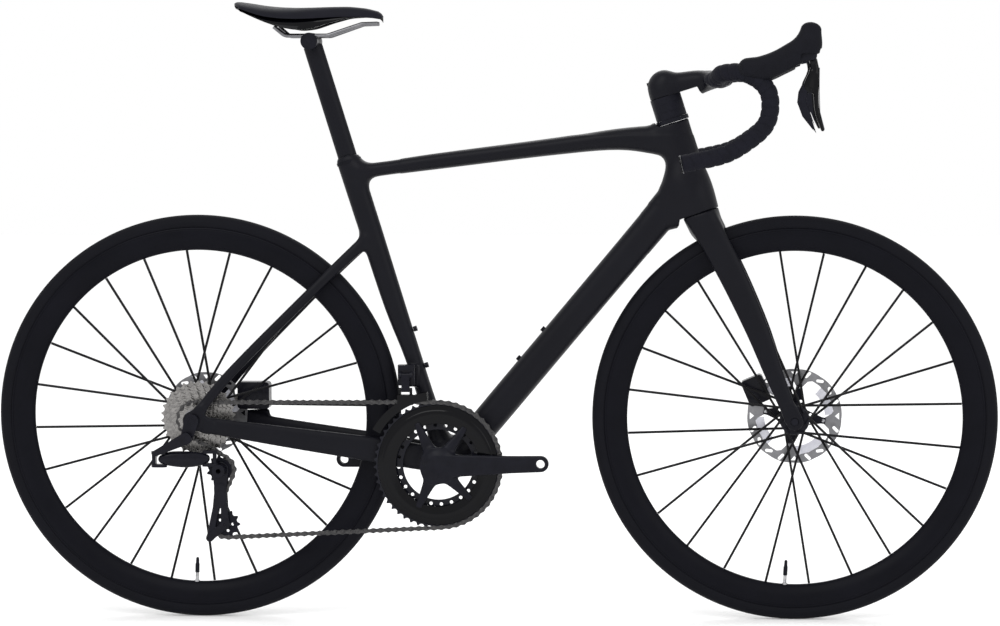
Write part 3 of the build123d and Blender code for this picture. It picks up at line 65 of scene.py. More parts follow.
class Clay:
    """A block of signed distances in millimetres, negative inside, on a grid of cubes."""

    def __init__(self, low, high, cell):
        self.low, self.cell = np.array(low, float), cell
        shape = np.ceil((np.array(high) - self.low) / cell).astype(int) + 1
        self.field = np.full(shape, 40.0, np.float32)

    def window(self, low, high):
        """The slices and the coordinates of the grid between two corners."""
        first = np.clip(np.floor((np.array(low) - self.low) / self.cell).astype(int), 0, None)
        last = np.minimum(np.ceil((np.array(high) - self.low) / self.cell).astype(int) + 1,
                          self.field.shape)
        cut = tuple(slice(a, max(a, b)) for a, b in zip(first, last))
        axes = [self.low[i] + self.cell * np.arange(cut[i].start, cut[i].stop) for i in range(3)]
        return cut, np.meshgrid(*[a.astype(np.float32) for a in axes], indexing="ij", sparse=True)

    def join(self, cut, distance, blend):
        """Union with a round fillet: the minimum of the two distances, rounded off within blend."""
        old = self.field[cut]
        h = np.clip(0.5 + 0.5 * (old - distance) / blend, 0, 1)
        self.field[cut] = old * (1 - h) + distance * h - blend * h * (1 - h)

    def carve(self, cut, distance, blend=1.0):
        """Takes a shape away, with a slightly rounded edge."""
        old, distance = self.field[cut], -distance
        h = np.clip(0.5 - 0.5 * (old - distance) / blend, 0, 1)
        self.field[cut] = old * (1 - h) + distance * h + blend * h * (1 - h)

    def tube(self, stations, blend=8.0, square=2.0, steps=5, carve=False):
        """A tube through stations of x, y, z, width across and depth. Its section is a superellipse:
        (|across| / half width) and (|along the depth| / half depth), each to the power square, add to 1."""
        route = smooth_route(stations, steps)
        reach = route[:, 3:].max() / 2 + blend + 6
        cut, (gx, gy, gz) = self.window(route[:, :3].min(0) - reach, route[:, :3].max(0) + reach)
        total = np.full([gx.shape[0], gy.shape[1], gz.shape[2]], 40.0, np.float32)
        for a, b in zip(route[:-1], route[1:]):
            part, (x, y, z) = self.window(
                np.minimum(a, b)[:3] - reach, np.maximum(a, b)[:3] + reach
            )
            along = b[:3] - a[:3]
            length = np.linalg.norm(along)
            along /= length
            side = np.array([0, 1, 0]) - along[1] * along
            side /= np.linalg.norm(side)
            ahead = np.cross(side, along)
            dx, dy, dz = x - a[0], y - a[1], z - a[2]
            s = dx * along[0] + dy * along[1] + dz * along[2]
            t = np.clip(s / length, 0, 1)
            half_u = (a[3] + (b[3] - a[3]) * t) / 2
            half_v = (a[4] + (b[4] - a[4]) * t) / 2
            past = s - t * length
            u = np.abs(dx * side[0] + dy * side[1] + dz * side[2]) / half_u
            v = np.abs(dx * ahead[0] + dy * ahead[1] + dz * ahead[2]) / half_v
            w = past / np.minimum(half_u, half_v)
            r = np.sqrt((u**square + v**square) ** (2 / square) + w**2) + 1e-6
            end = np.minimum(half_u, half_v)
            slope = np.sqrt((u / half_u) ** 2 + (v / half_v) ** 2 + (w / end) ** 2) + 1e-6
            local = tuple(slice(p.start - c.start, p.stop - c.start) for p, c in zip(part, cut))
            total[local] = np.minimum(total[local], r * (r - 1) / slope)
        (self.carve if carve else self.join)(cut, total, blend)

    def rod(self, start, end, radius, blend=2.0, carve=False):
        """A round bar between two points, flat at its ends."""
        start, end = np.array(start, float), np.array(end, float)
        cut, (x, y, z) = self.window(
            np.minimum(start, end) - radius - blend - 4, np.maximum(start, end) + radius + blend + 4
        )
        along = end - start
        length = np.linalg.norm(along)
        along /= length
        dx, dy, dz = x - start[0], y - start[1], z - start[2]
        s = dx * along[0] + dy * along[1] + dz * along[2]
        radial = np.sqrt(np.maximum(dx**2 + dy**2 + dz**2 - s**2, 0)) - radius
        (self.carve if carve else self.join)(
            cut, np.maximum(radial, np.abs(s - length / 2) - length / 2), blend
        )

    def plate(self, y_from, y_to, circles, blend=3.0, edge=1.5, carve=False):
        """An upright plate with rounded edges round a chain of circles (x, z, radius)."""
        c = np.array(circles, float)
        reach = c[:, 2].max() + blend + 4
        cut, (x, y, z) = self.window(
            (c[:, 0].min() - reach, min(y_from, y_to) - blend - 4, c[:, 1].min() - reach),
            (c[:, 0].max() + reach, max(y_from, y_to) + blend + 4, c[:, 1].max() + reach),
        )
        flat = np.sqrt((x - c[0, 0]) ** 2 + (z - c[0, 1]) ** 2) - c[0, 2]
        for a, b in zip(c[:-1], c[1:]):
            ax, az = b[0] - a[0], b[1] - a[1]
            t = np.clip(((x - a[0]) * ax + (z - a[1]) * az) / (ax * ax + az * az), 0, 1)
            r = a[2] + (b[2] - a[2]) * t
            flat = np.minimum(flat, np.sqrt((x - a[0] - ax * t) ** 2 + (z - a[1] - az * t) ** 2) - r)
        thick = np.abs(y - (y_from + y_to) / 2) - abs(y_to - y_from) / 2
        p, q = np.maximum(flat + edge, 0), np.maximum(thick + edge, 0)
        distance = np.sqrt(p * p + q * q) + np.minimum(np.maximum(flat, thick) + edge, 0) - edge
        (self.carve if carve else self.join)(cut, distance, blend)

    def block(self, centre, half, turn=0.0, blend=3.0, edge=2.0, carve=False):
        """A box with rounded edges, turned in the XZ plane by so many degrees."""
        cx, cy, cz = centre
        reach = math.hypot(half[0], half[2]) + blend + 4
        cut, (x, y, z) = self.window(
            (cx - reach, cy - half[1] - blend - 4, cz - reach), (cx + reach, cy + half[1] + blend + 4,
                cz + reach)
        )
        c, s = math.cos(math.radians(turn)), math.sin(math.radians(turn))
        u = np.abs((x - cx) * c + (z - cz) * s) - half[0] + edge
        w = np.abs((z - cz) * c - (x - cx) * s) - half[2] + edge
        v = np.abs(y - cy) - half[1] + edge
        outside = np.sqrt(np.maximum(u, 0) ** 2 + np.maximum(v, 0) ** 2 + np.maximum(w, 0) ** 2)
        distance = outside + np.minimum(np.maximum(np.maximum(u, v), w), 0) - edge
        (self.carve if carve else self.join)(cut, distance, blend)

    def surface(self):
        """The skin where the distance is nought, as points in millimetres and faces."""
        limit = 3.5 * self.cell
        grid = openvdb.FloatGrid(limit)
        grid.copyFromArray(np.ascontiguousarray(np.clip(self.field, -limit, limit)))
        points, faces = grid.convertToQuads(isovalue=0.0)
        points = points.astype(float) * self.cell + self.low
        return outward(points, faces.astype(int))


def outward(points, faces):
    """Turns the faces round if they enclose a negative volume."""
    faces = np.asarray(faces)
    a, b, c = points[faces[:, 0]], points[faces[:, 1]], points[faces[:, 2]]
    d = points[faces[:, -1]]
    volume = (np.cross(a, b) * c).sum() + (np.cross(a, c) * d).sum()
    return points, faces if volume > 0 else faces[:, ::-1]


def piece(name, shells, body, slot, replaces=(), smooth=True, crease=35):
    """One finished piece on its body, from shells of points in millimetres and faces."""
    points, faces, count = [], [], 0
    for p, f in shells:
        points.append(np.asarray(p, float).reshape(-1, 3))
        faces += [[i + count for i in face] for face in (f.tolist() if hasattr(f, "tolist") else f)]
        count += len(points[-1])
    mesh = bpy.data.meshes.new(name)
    mesh.from_pydata(np.vstack(points) * MM, [], faces)
    mesh.update()
    made = bpy.data.objects.new(name, mesh)
    bpy.context.scene.collection.objects.link(made)
    mesh.shade_smooth() if smooth else mesh.shade_flat()
    if smooth and crease:
        mesh.set_sharp_from_angle(angle=math.radians(crease))
    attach(made, body)
    if replaces:
        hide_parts(*replaces)
    made.data.materials.append(finish[slot])
    return made


def effect(name, inputs, outputs):
    """A shader node group with its named sockets, and its input and output nodes."""
    group = bpy.data.node_groups.new(name, "ShaderNodeTree")
    for socket, kind, value in inputs:
        made = group.interface.new_socket(socket, in_out="INPUT", socket_type=kind)
        if value is not None:
            made.default_value = value
    for socket, kind in outputs:
        group.interface.new_socket(socket, in_out="OUTPUT", socket_type=kind)
    return group, group.nodes.new("NodeGroupInput"), group.nodes.new("NodeGroupOutput")


def add_node(tree, kind, links=(), **settings):
    """A node with its settings, and its inputs linked or set by name or number."""
    node = tree.nodes.new("ShaderNode" + kind)
    for key, value in settings.items():
        setattr(node, key, value)
    for key, value in dict(links).items():
        if isinstance(value, bpy.types.NodeSocket):
            tree.links.new(value, node.inputs[key])
        else:
            node.inputs[key].default_value = value
    return node


# mottle: a surface's colour drifts between two shades in soft clouds, with finer specks in them
mottle, given, out = effect(
    "mottle",
    [("Vector", "NodeSocketVector", None), ("Scale", "NodeSocketFloat", 40.0),
     ("Colour", "NodeSocketColor", (0.01, 0.01, 0.01, 1)), ("Shade", "NodeSocketColor", (0.02, 0.02, 0.02,
         1)),
     ("Roughness", "NodeSocketFloat", 0.4), ("Variation", "NodeSocketFloat", 0.1)],
    [("Colour", "NodeSocketColor"), ("Roughness", "NodeSocketFloat"), ("Mask", "NodeSocketFloat")],
)
cloud = add_node(mottle, "TexNoise", {"Vector": given.outputs["Vector"], "Scale": given.outputs["Scale"],
                                      "Detail": 6.0, "Roughness": 0.62})
spread = add_node(mottle, "MapRange", {"Value": cloud.outputs["Fac"], "From Min": 0.3, "From Max": 0.7})
colour = add_node(mottle, "Mix", {0: spread.outputs["Result"]}, data_type="RGBA")
mottle.links.new(given.outputs["Colour"], colour.inputs[6])
mottle.links.new(given.outputs["Shade"], colour.inputs[7])
swing = add_node(mottle, "Math", {0: spread.outputs["Result"], 1: -0.5}, operation="ADD")
rough = add_node(mottle, "Math", {0: swing.outputs[0], 1: given.outputs["Variation"],
                                  2: given.outputs["Roughness"]}, operation="MULTIPLY_ADD")
mottle.links.new(colour.outputs[2], out.inputs["Colour"])
mottle.links.new(rough.outputs[0], out.inputs["Roughness"])
mottle.links.new(spread.outputs["Result"], out.inputs["Mask"])

# grain: fine lumps or pores in the surface, as a height for a bump, with long waves under them
grain, given, out = effect(
    "grain",
    [("Vector", "NodeSocketVector", None), ("Scale", "NodeSocketFloat", 900.0),
     ("Pores", "NodeSocketFloat", 0.5), ("Wave", "NodeSocketFloat", 0.3)],
    [("Height", "NodeSocketFloat")],
)
lumps = add_node(grain, "TexNoise", {"Vector": given.outputs["Vector"], "Scale": given.outputs["Scale"],
                                     "Detail": 3.0})
pores = add_node(grain, "TexVoronoi", {"Vector": given.outputs["Vector"], "Scale": given.outputs["Scale"]},
                 feature="SMOOTH_F1")
waves = add_node(grain, "TexNoise", {"Vector": given.outputs["Vector"], "Scale": 35.0, "Detail": 2.0})
mixed = add_node(grain, "Mix", {0: given.outputs["Pores"], 2: lumps.outputs["Fac"],
                                3: pores.outputs["Distance"]}, data_type="FLOAT")
height = add_node(grain, "Math", {0: waves.outputs["Fac"], 1: given.outputs["Wave"], 2: mixed.outputs[0]},
                  operation="MULTIPLY_ADD")
grain.links.new(height.outputs[0], out.inputs["Height"])

finish = {}


def lay_finish(slot, colour, shade, roughness, cloud=40.0, swing=0.1, metal=0.0, grain_scale=900.0,
               pores=0.5,
               bump=0.05, bump_depth=0.0004, coat=0.0, coat_rough=0.1,
               specular=0.09, wave=0.3, sheen=0.0):
    """A painted, moulded or metal finish: clouded colour, uneven gloss and fine grain."""
    made = bpy.data.materials.new(slot)
    made.use_nodes = True
    tree = made.node_tree
    shader = tree.nodes["Principled BSDF"]
    place = add_node(tree, "TexCoord").outputs["Object"]
    cover = tree.nodes.new("ShaderNodeGroup")
    cover.node_tree = mottle
    tree.links.new(place, cover.inputs["Vector"])
    cover.inputs["Scale"].default_value = cloud
    cover.inputs["Colour"].default_value = (*colour, 1)
    cover.inputs["Shade"].default_value = (*shade, 1)
    cover.inputs["Roughness"].default_value = roughness
    cover.inputs["Variation"].default_value = swing
    tree.links.new(cover.outputs["Colour"], shader.inputs["Base Color"])
    tree.links.new(cover.outputs["Roughness"], shader.inputs["Roughness"])
    shader.inputs["Metallic"].default_value = metal
    shader.inputs["Specular IOR Level"].default_value = specular
    shader.inputs["Coat Weight"].default_value = coat
    shader.inputs["Coat Roughness"].default_value = coat_rough
    shader.inputs["Sheen Weight"].default_value = sheen
    texture = tree.nodes.new("ShaderNodeGroup")
    texture.node_tree = grain
    tree.links.new(place, texture.inputs["Vector"])
    texture.inputs["Scale"].default_value = grain_scale
    texture.inputs["Pores"].default_value = pores
    texture.inputs["Wave"].default_value = wave
    relief = add_node(tree, "Bump", {"Height": texture.outputs["Height"], "Strength": bump,
                                     "Distance": bump_depth})
    tree.links.new(relief.outputs["Normal"], shader.inputs["Normal"])
    finish[slot] = made
    return made


lay_finish("carbon_black", (0.0022, 0.0023, 0.0046), (0.0034, 0.0035, 0.0066), 0.44, cloud=9.0, swing=0.08,
           grain_scale=1400, bump=0.12, bump_depth=0.0003, specular=0.13)

frame_clay = Clay((-532, -92, 218), (392, 92, 858), 2.5)
seat_up = np.array([-math.cos(math.radians(73)), 0, math.sin(math.radians(73))])
seat_ahead = np.array([math.sin(math.radians(73)), 0, math.cos(math.radians(73))])
steer_down = np.array([math.cos(math.radians(72.5)), 0, -math.sin(math.radians(72.5))])
steer_ahead = np.array([math.sin(math.radians(72.5)), 0, math.cos(math.radians(72.5))])
bracket = np.array([bracket_x, 0, bracket_z])
steerer = np.array([285.0, 0, 868.0])


def on_seat(up, ahead=0.0):
    """A point so far up the seat tube from the bottom bracket."""
    return bracket + up * seat_up + ahead * seat_ahead


def on_steer(down, ahead=0.0):
    """A point so far down the steering axis from its datum."""
    return steerer + down * steer_down + ahead * steer_ahead


# head tube: an hourglass, with its widest ends round the bearings
frame_clay.tube([(*on_steer(20), 50, 52), (*on_steer(60), 49, 51), (*on_steer(115), 47, 52),
                 (*on_steer(165), 53, 56), (*on_steer(215), 57, 60)], blend=10, square=2.2)
# top tube and down tube, with large hollow curves where they meet the head tube
frame_clay.tube([(-222, 0, 750.5, 31, 24), (-170, 0, 757.5, 31, 23), (-91, 0, 768.2, 35, 25),
                 (100, 0, 792.3, 40, 27), (207, 0, 804.5, 43, 35), (286, 0, 803, 45, 52)],
                blend=20, square=2.5)
frame_clay.tube([(-66, 0, 273, 64, 46), (-16.2, 0, 332.3, 60, 50), (115, 0, 488.5, 54, 50),
                 (244, 0, 641.7, 50, 51), (309, 0, 719, 47, 54)], blend=52, square=2.6)
# seat tube, cut back low down for the tyre
frame_clay.tube([(*on_seat(0, 8), 46, 38), (*on_seat(100, 8.4), 37, 28.5), (*on_seat(185, 7.8), 32, 28),
                 (*on_seat(275, 4.3), 31, 35), (*on_seat(400, 3.3), 31, 37.5), (*on_seat(526, 2.6), 32,
                     39)],
                blend=22, square=2.2)
frame_clay.rod((bracket_x, 34, bracket_z), (bracket_x, -34, bracket_z), 26, blend=14)
for side in (-1, 1):
    frame_clay.tube([(-216, side * 9, 636, 13, 21), (-240, side * 15, 614, 12, 19),
                     (-300, side * 29, 556, 11, 17), (-430.6, side * 61, 424.2, 11, 16.5),
                     (rear_x + 12, side * 73.5, axle_z + 17, 11, 17)], blend=12, square=2.4)
    frame_clay.tube([(-105, side * 20, 270, 20, 40), (-135, side * 25.5, 276, 17, 44),
                     (-205, side * 33, 288, 15.5, 42), (-340, side * 51, 309, 13, 35),
                     (rear_x + 22, side * 72.5, axle_z - 7, 11.5, 27)], blend=10, square=2.6)
    frame_clay.plate(side * 71.4, side * 78, [(rear_x, axle_z, 15), (rear_x + 24, axle_z - 8, 12)], blend=6)
    frame_clay.plate(side * 71.4, side * 78, [(rear_x, axle_z, 14), (rear_x + 14, axle_z + 18, 8)], blend=6)
# pad under the rear caliper, and the boss that carries the front derailleur
frame_clay.block((rear_x + 82, 65.5, axle_z - 10), (24, 4.2, 15), turn=4, blend=8)
frame_clay.block((-139, -17, 410), (11, 6, 18), blend=4)
# bores for the bottom bracket, the steerer, the seatpost and the rear axle, and the cut faces round them
frame_clay.rod((bracket_x, 80, bracket_z), (bracket_x, -80, bracket_z), 21.3, blend=0.8, carve=True)
frame_clay.rod((rear_x, 90, axle_z), (rear_x, -90, axle_z), 6.3, blend=0.8, carve=True)
frame_clay.rod(on_steer(0), on_steer(230), 20.8, blend=0.8, carve=True)
frame_clay.rod(on_steer(37.9), on_steer(-20), 31, blend=0.8, carve=True)
frame_clay.rod(on_steer(194), on_steer(250), 45, blend=0.8, carve=True)
frame_clay.tube([(*on_seat(419, 3.2), 22.6, 32.6), (*on_seat(480, 3.2), 22.6, 32.6),
                 (*on_seat(560, 3.2), 22.6, 32.6)], blend=0.8, square=2.0, carve=True)
piece("frame_moulding", [frame_clay.surface()], "frame", "carbon_black", ["frame"], crease=0)

# ---------------------------------------------------------------- tyres
# Each tyre is a 28 mm clincher of black rubber on a woven casing. The tread is slick in the middle, with a
# raised
# edge on each shoulder, and the sidewall runs down to a bead that hooks under the edge of the rim.
lay_finish("tyre_rubber", (0.0036, 0.0037, 0.0057), (0.0053, 0.0054, 0.0081), 0.66, cloud=22, pores=0.3,
           grain_scale=1100, bump=0.25, bump_depth=0.0002, specular=0.08)
tyre_radius, tyre_half = 339.0, 14.0
rim_outer, rim_nose, rim_half = 317.0, 280.0, 13.5


def lathe(profile, steps, x=0.0, z=0.0, start=0.0):
    """A closed profile of (radius, y) turned about the line through (x, z) along Y: a point at an angle is
    the radius times its cosine and sine."""
    p = np.array(profile, float)
    a = start + 2 * np.pi * np.arange(steps) / steps
    points = np.empty((steps, len(p), 3))
    points[..., 0] = x + np.cos(a)[:, None] * p[None, :, 0]
    points[..., 1] = p[None, :, 1]
    points[..., 2] = z + np.sin(a)[:, None] * p[None, :, 0]
    return outward(points.reshape(-1, 3), wrap(steps, len(p), True, True))


def wrap(rows, columns, round_rows, round_columns):
    """The four-sided faces of a grid, joined back to its start where it is round."""
    r = np.arange(rows if round_rows else rows - 1)[:, None]
    c = np.arange(columns if round_columns else columns - 1)[None, :]
    r2, c2 = (r + 1) % rows, (c + 1) % columns
    return np.stack([r * columns + c, r * columns + c2, r2 * columns + c2, r2 * columns + c],
                    -1).reshape(-1, 4)


def smooth_profile(points, steps):
    """A closed profile rounded off on a Catmull-Rom curve through its points."""
    p = np.array(points, float)
    a, b, c, d = np.roll(p, 1, 0), p, np.roll(p, -1, 0), np.roll(p, -2, 0)
    t = (np.arange(steps) / steps)[None, :, None]
    a, b, c, d = (v[:, None, :] for v in (a, b, c, d))
    curve = 0.5 * (2 * b + (c - a) * t + (2 * a - 5 * b + 4 * c - d) * t**2 + (3 * b - a - 3 * c + d) * t**3)
    return curve.reshape(-1, 2)


def tyre_profile():
    """The tyre's section: a circle for the casing, a third of a millimetre prouder over the tread, thinned
    to the bead, and the same circle again 2.6 mm further in."""
    turn = np.radians(np.linspace(-126, 126, 67))
    proud = 0.35 / (1 + np.exp((np.abs(np.degrees(turn)) - 62) * 2.2))
    rib = 0.25 * np.exp(-(((np.abs(np.degrees(turn)) - 104) / 3.0) ** 2))
    r = tyre_half - 0.35 + proud + rib
    middle = tyre_radius - tyre_half
    outer = np.stack([middle + r * np.cos(turn), r * np.sin(turn)], -1)
    inner = np.stack([middle + (r - 2.6) * np.cos(turn), (r - 2.6) * np.sin(turn)], -1)[::-3]
    return np.vstack([outer, inner])


for name, x in (("front", front_x), ("rear", rear_x)):
    piece(name + "_tyre_tread", [lathe(tyre_profile(), 240, x, axle_z)], name + "_wheel", "tyre_rubber",
          [name + "_tyre"], crease=0)

# ---------------------------------------------------------------- rims
# The rims are hollow carbon mouldings, 37 mm deep. The flanks bulge, then draw in to a round nose that the
# spokes
# enter, and a fine step runs round each edge where the tyre sits.
lay_finish("rim_carbon", (0.0025, 0.0026, 0.0047), (0.0037, 0.0038, 0.0066), 0.42, cloud=14,
           grain_scale=1300, bump=0.08, specular=0.07)
rim_section = [(rim_outer + 0.6, -12.2), (rim_outer + 0.6, -13.2), (rim_outer - 1.6, -13.9),
               (rim_outer - 2.4, -13.3),
               (rim_outer - 4, -13.7), (rim_outer - 12, -13.9), (rim_outer - 22, -11.8), (rim_outer - 31,
                   -7.6),
               (rim_nose + 1.4, -3.6), (rim_nose, 0), (rim_nose + 1.4, 3.6), (rim_outer - 31, 7.6),
               (rim_outer - 22, 11.8), (rim_outer - 12, 13.9), (rim_outer - 4, 13.7), (rim_outer - 2.4,
                   13.3),
               (rim_outer - 1.6, 13.9), (rim_outer + 0.6, 13.2), (rim_outer + 0.6, 12.2), (rim_outer - 5,
                   11),
               (rim_outer - 8, 4), (rim_outer - 8, -4), (rim_outer - 5, -11)]
for name, x in (("front", front_x), ("rear", rear_x)):
    piece(name + "_rim_shell", [lathe(smooth_profile(rim_section, 4), 240, x, axle_z)], name + "_wheel",
          "rim_carbon", [name + "_rim"], crease=0)

# ---------------------------------------------------------------- spokes and nipples
# Twenty-four drawn steel spokes to a wheel, crossed twice. Each is round at its ends and flattened to a
# blade between,
# and screws into a black nipple that stands out of the rim's nose.
lay_finish("spoke_steel", (0.24, 0.24, 0.25), (0.34, 0.34, 0.35), 0.3, cloud=200, metal=0.8)
wheel_facts = {
    "front": dict(x=front_x, phase=5.2, valve=266.8, left=21.0, right=-31.0, width=100.0, disc=39.5,
                  disc_radius=80.0),
    "rear": dict(x=rear_x, phase=4.0, valve=267.9, left=33.0, right=-14.0, width=142.0, disc=55.7,
                 disc_radius=70.0),
}
spoke_count, hole_radius, side_step = 24, 21.0, 3.1


def spoke_lines(facts):
    """The two ends of every spoke: on its flange 60 degrees ahead or behind, and in the rim's nose."""
    n = np.arange(spoke_count)
    angle = np.radians(facts["phase"] + 360 / spoke_count * n)
    lead = np.where(n % 4 < 2, 1, -1)
    flange = np.where(n % 2 == 0, facts["left"], facts["right"])
    turn = angle + lead * np.radians(60)
    hub = np.stack([facts["x"] + hole_radius * np.cos(turn), flange + lead * side_step,
                    axle_z + hole_radius * np.sin(turn)], -1)
    rim = np.stack([facts["x"] + rim_nose * np.cos(angle), np.where(n % 2 == 0, 1.5, -1.5),
                    axle_z + rim_nose * np.sin(angle)], -1)
    return hub, rim


def bars(starts, ends, stops, sides=8):
    """Turned bars between pairs of points. Each stop is a distance from the start, or from the end if it is
    negative, and two half widths there: one along the bike's Y and one square to it."""
    axis = ends - starts
    length = np.linalg.norm(axis, axis=1, keepdims=True)
    axis = axis / length
    across = np.array([0, 1, 0]) - axis[:, 1:2] * axis
    weak = np.linalg.norm(across, axis=1, keepdims=True) < 0.2
    across = np.where(weak, np.cross(axis, [1.0, 0, 0]), across)
    across /= np.linalg.norm(across, axis=1, keepdims=True)
    third = np.cross(axis, across)
    turn = 2 * np.pi * np.arange(sides) / sides
    rings = []
    for far, wide, deep in stops:
        at = length + far if far < 0 else np.full_like(length, far)
        centre = starts + axis * at
        rings.append(centre[:, None] + wide * np.cos(turn)[None, :, None] * across[:, None]
                     + deep * np.sin(turn)[None, :, None] * third[:, None])
    points = np.stack(rings, 1)
    count, rows = len(starts), len(stops)
    one = wrap(rows, sides, False, True)
    faces = (one[None] + (np.arange(count) * rows * sides)[:, None, None]).reshape(-1, 4).tolist()
    for i in range(count):
        base = i * rows * sides
        faces.append([base + k for k in range(sides)][::-1])
        faces.append([base + (rows - 1) * sides + k for k in range(sides)])
    flat = points.reshape(-1, 3)
    first = [f for f in faces if max(f) < rows * sides]
    a = sum(np.dot(np.cross(flat[f[0]], flat[f[i]]), flat[f[i + 1]]) for f in first for i in range(1,
        len(f) - 1))
    return flat, faces if a > 0 else [f[::-1] for f in faces]


lay_finish("nipple_black", (0.005, 0.005, 0.006), (0.009, 0.009, 0.010), 0.3, cloud=200)
for name, facts in wheel_facts.items():
    hub, rim = spoke_lines(facts)
    piece(name + "_spoke_blades",
          [bars(hub, rim, [(0, 0.75, 0.75), (14, 0.75, 0.75), (26, 0.4, 0.42), (-34, 0.4, 0.42), (-24,
              0.7, 0.7),
                           (-8, 0.7, 0.7)])],
          name + "_wheel", "spoke_steel", [name + "_spokes"])
    piece(name + "_nipples",
          [bars(hub, rim, [(-9.5, 1.2, 1.2), (-9, 1.75, 1.75), (-1, 1.75, 1.75), (-0.2, 2.3, 2.3), (5,
              2.3, 2.3)], 6)],
          name + "_wheel", "spoke_steel", smooth=False).data.materials[0] = finish["nipple_black"]

# ---------------------------------------------------------------- valves
# A presta valve with its black cap stands in each rim, between two spokes: a bright threaded stem, a
# knurled ring
# nut against the rim and a ribbed cap.
lay_finish("plastic_black", (0.0050, 0.0052, 0.0084), (0.0076, 0.0077, 0.0126), 0.42, cloud=80, bump=0.12)
lay_finish("valve_metal", (0.3500, 0.3500, 0.3600), (0.5000, 0.5000, 0.5100), 0.28, cloud=200, metal=1.0)
for name, facts in wheel_facts.items():
    out_ward = np.array([math.cos(math.radians(facts["valve"])), 0, math.sin(math.radians(facts["valve"]))])
    centre = np.array([facts["x"], 0, axle_z])
    foot, tip = centre + out_ward * (rim_nose + 2), centre + out_ward * (rim_nose - 44)
    stem = [(0, 3, 3), (0.1, 3.4, 3.4), (1, 4.6, 4.6), (3.4, 4.6, 4.6), (3.6, 2.9, 2.9)]
    for thread in range(8):
        stem += [(4.2 + thread * 1.6, 2.5, 2.5), (5.0 + thread * 1.6, 2.9, 2.9)]
    piece(name + "_valve_stem", [bars(foot[None], tip[None], stem + [(18, 2.4, 2.4)], 16)], name + "_wheel",
          "valve_metal", [name + "_valve"])
    cap = [(16.5, 3.3, 3.3), (17, 3.6, 3.6), (30, 3.6, 3.6), (33, 2.9, 2.9), (40, 2.6, 2.6), (42, 1.8,
        1.8), (42.6, 0.4, 0.4)]
    piece(name + "_valve_cap", [bars(foot[None], tip[None], cap, 16)], name + "_wheel", "plastic_black")

# ---------------------------------------------------------------- hubs
# The hub shells are turned and anodised aluminium: a waisted barrel between two spoke flanges, with a
# stepped end
# cap at each side and a boss behind every spoke's head.
lay_finish("anodised_black", (0.0042, 0.0043, 0.0072), (0.0067, 0.0069, 0.0114), 0.34, cloud=60,
           bump=0.06, specular=0.11)
for name, facts in wheel_facts.items():
    left, right, half = facts["left"], facts["right"], facts["width"] / 2
    near_end = -half if name == "front" else right - 5
    section = [(6.3, half), (9, half), (9, left + 12), (15, left + 9), (16, left + 3), (24, left + 1.6),
               (24.6, left), (24, left - 1.6), (17, left - 4), (13, left - 12), (12.2, (left + right) / 2),
               (13, right + 10), (17, right + 4), (24, right + 1.6), (24.6, right), (24, right - 1.6),
               (16, right - 3)]
    section += [(14, right - 8), (9, right - 9), (9, -half), (6.3, -half)] if name == "front" else [
        (13, right - 4.5), (13, right - 5), (6.3, right - 5)]
    hub, rim = spoke_lines(facts)
    along = (rim - hub) / np.linalg.norm(rim - hub, axis=1, keepdims=True)
    heads = bars(hub - along * 4, hub + along * 7, [(0, 2.2, 2.2), (0.6, 2.8, 2.8), (8, 2.8, 2.8), (11,
        2.0, 2.0)], 10)
    body = [lathe(section, 64, facts["x"], axle_z), heads]
    if name == "rear":
        body.append(lathe([(6.3, -70.8), (11.9, -70.8), (11.9, -19), (6.3, -19)], 48, rear_x, axle_z))
    piece(name + "_hub_shell", body, name + "_wheel", "anodised_black", [name + "_hub"])

# ---------------------------------------------------------------- brake rotors
# Each rotor is three layers: a stamped steel braking ring with windows, aluminium fins riveted inside it
# to shed
# heat, and a black aluminium spider that locks on the hub.
lay_finish("bearing_steel", (0.3000, 0.3000, 0.3200), (0.4200, 0.4200, 0.4400), 0.25, cloud=120,
           metal=1.0, bump=0.05)
lay_finish("rotor_steel", (0.1700, 0.1700, 0.1800), (0.2500, 0.2500, 0.2600), 0.36, cloud=90, metal=1.0,
           swing=0.12,
           bump=0.08)


def flat_shape(loops, y_from, y_to, bevel=0.25):
    """A plate cut to closed outlines of (x, z), holes among them, with its edges bevelled."""
    curve = bpy.data.curves.new("outline", "CURVE")
    curve.dimensions, curve.fill_mode = "2D", "BOTH"
    curve.extrude, curve.bevel_depth, curve.bevel_resolution = abs(y_to - y_from) / 2 - bevel, bevel, 0
    curve.offset = -bevel
    for loop in loops:
        loop = np.asarray(loop, float)
        spline = curve.splines.new("POLY")
        spline.points.add(len(loop) - 1)
        co = np.zeros((len(loop), 4))
        co[:, :2], co[:, 3] = loop, 1
        spline.points.foreach_set("co", co.ravel())
        spline.use_cyclic_u = True
    holder = bpy.data.objects.new("outline", curve)
    bpy.context.scene.collection.objects.link(holder)
    bpy.context.view_layer.update()
    mesh = bpy.data.meshes.new_from_object(holder.evaluated_get(bpy.context.evaluated_depsgraph_get()))
    work = bmesh.new()
    work.from_mesh(mesh)
    bmesh.ops.remove_doubles(work, verts=work.verts, dist=0.002)
    bmesh.ops.recalc_face_normals(work, faces=work.faces)
    work.verts.ensure_lookup_table()
    flat = np.array([v.co for v in work.verts])
    faces = [[v.index for v in f.verts] for f in work.faces]
    work.free()
    bpy.data.objects.remove(holder)
    bpy.data.curves.remove(curve)
    bpy.data.meshes.remove(mesh)
    return np.stack([flat[:, 0], (y_from + y_to) / 2 - flat[:, 2], flat[:, 1]], -1), faces


def round_loop(x, z, radius, steps=24):
    """A circle of points round a centre."""
    a = 2 * np.pi * np.arange(steps) / steps
    return np.stack([x + radius * np.cos(a), z + radius * np.sin(a)], -1)


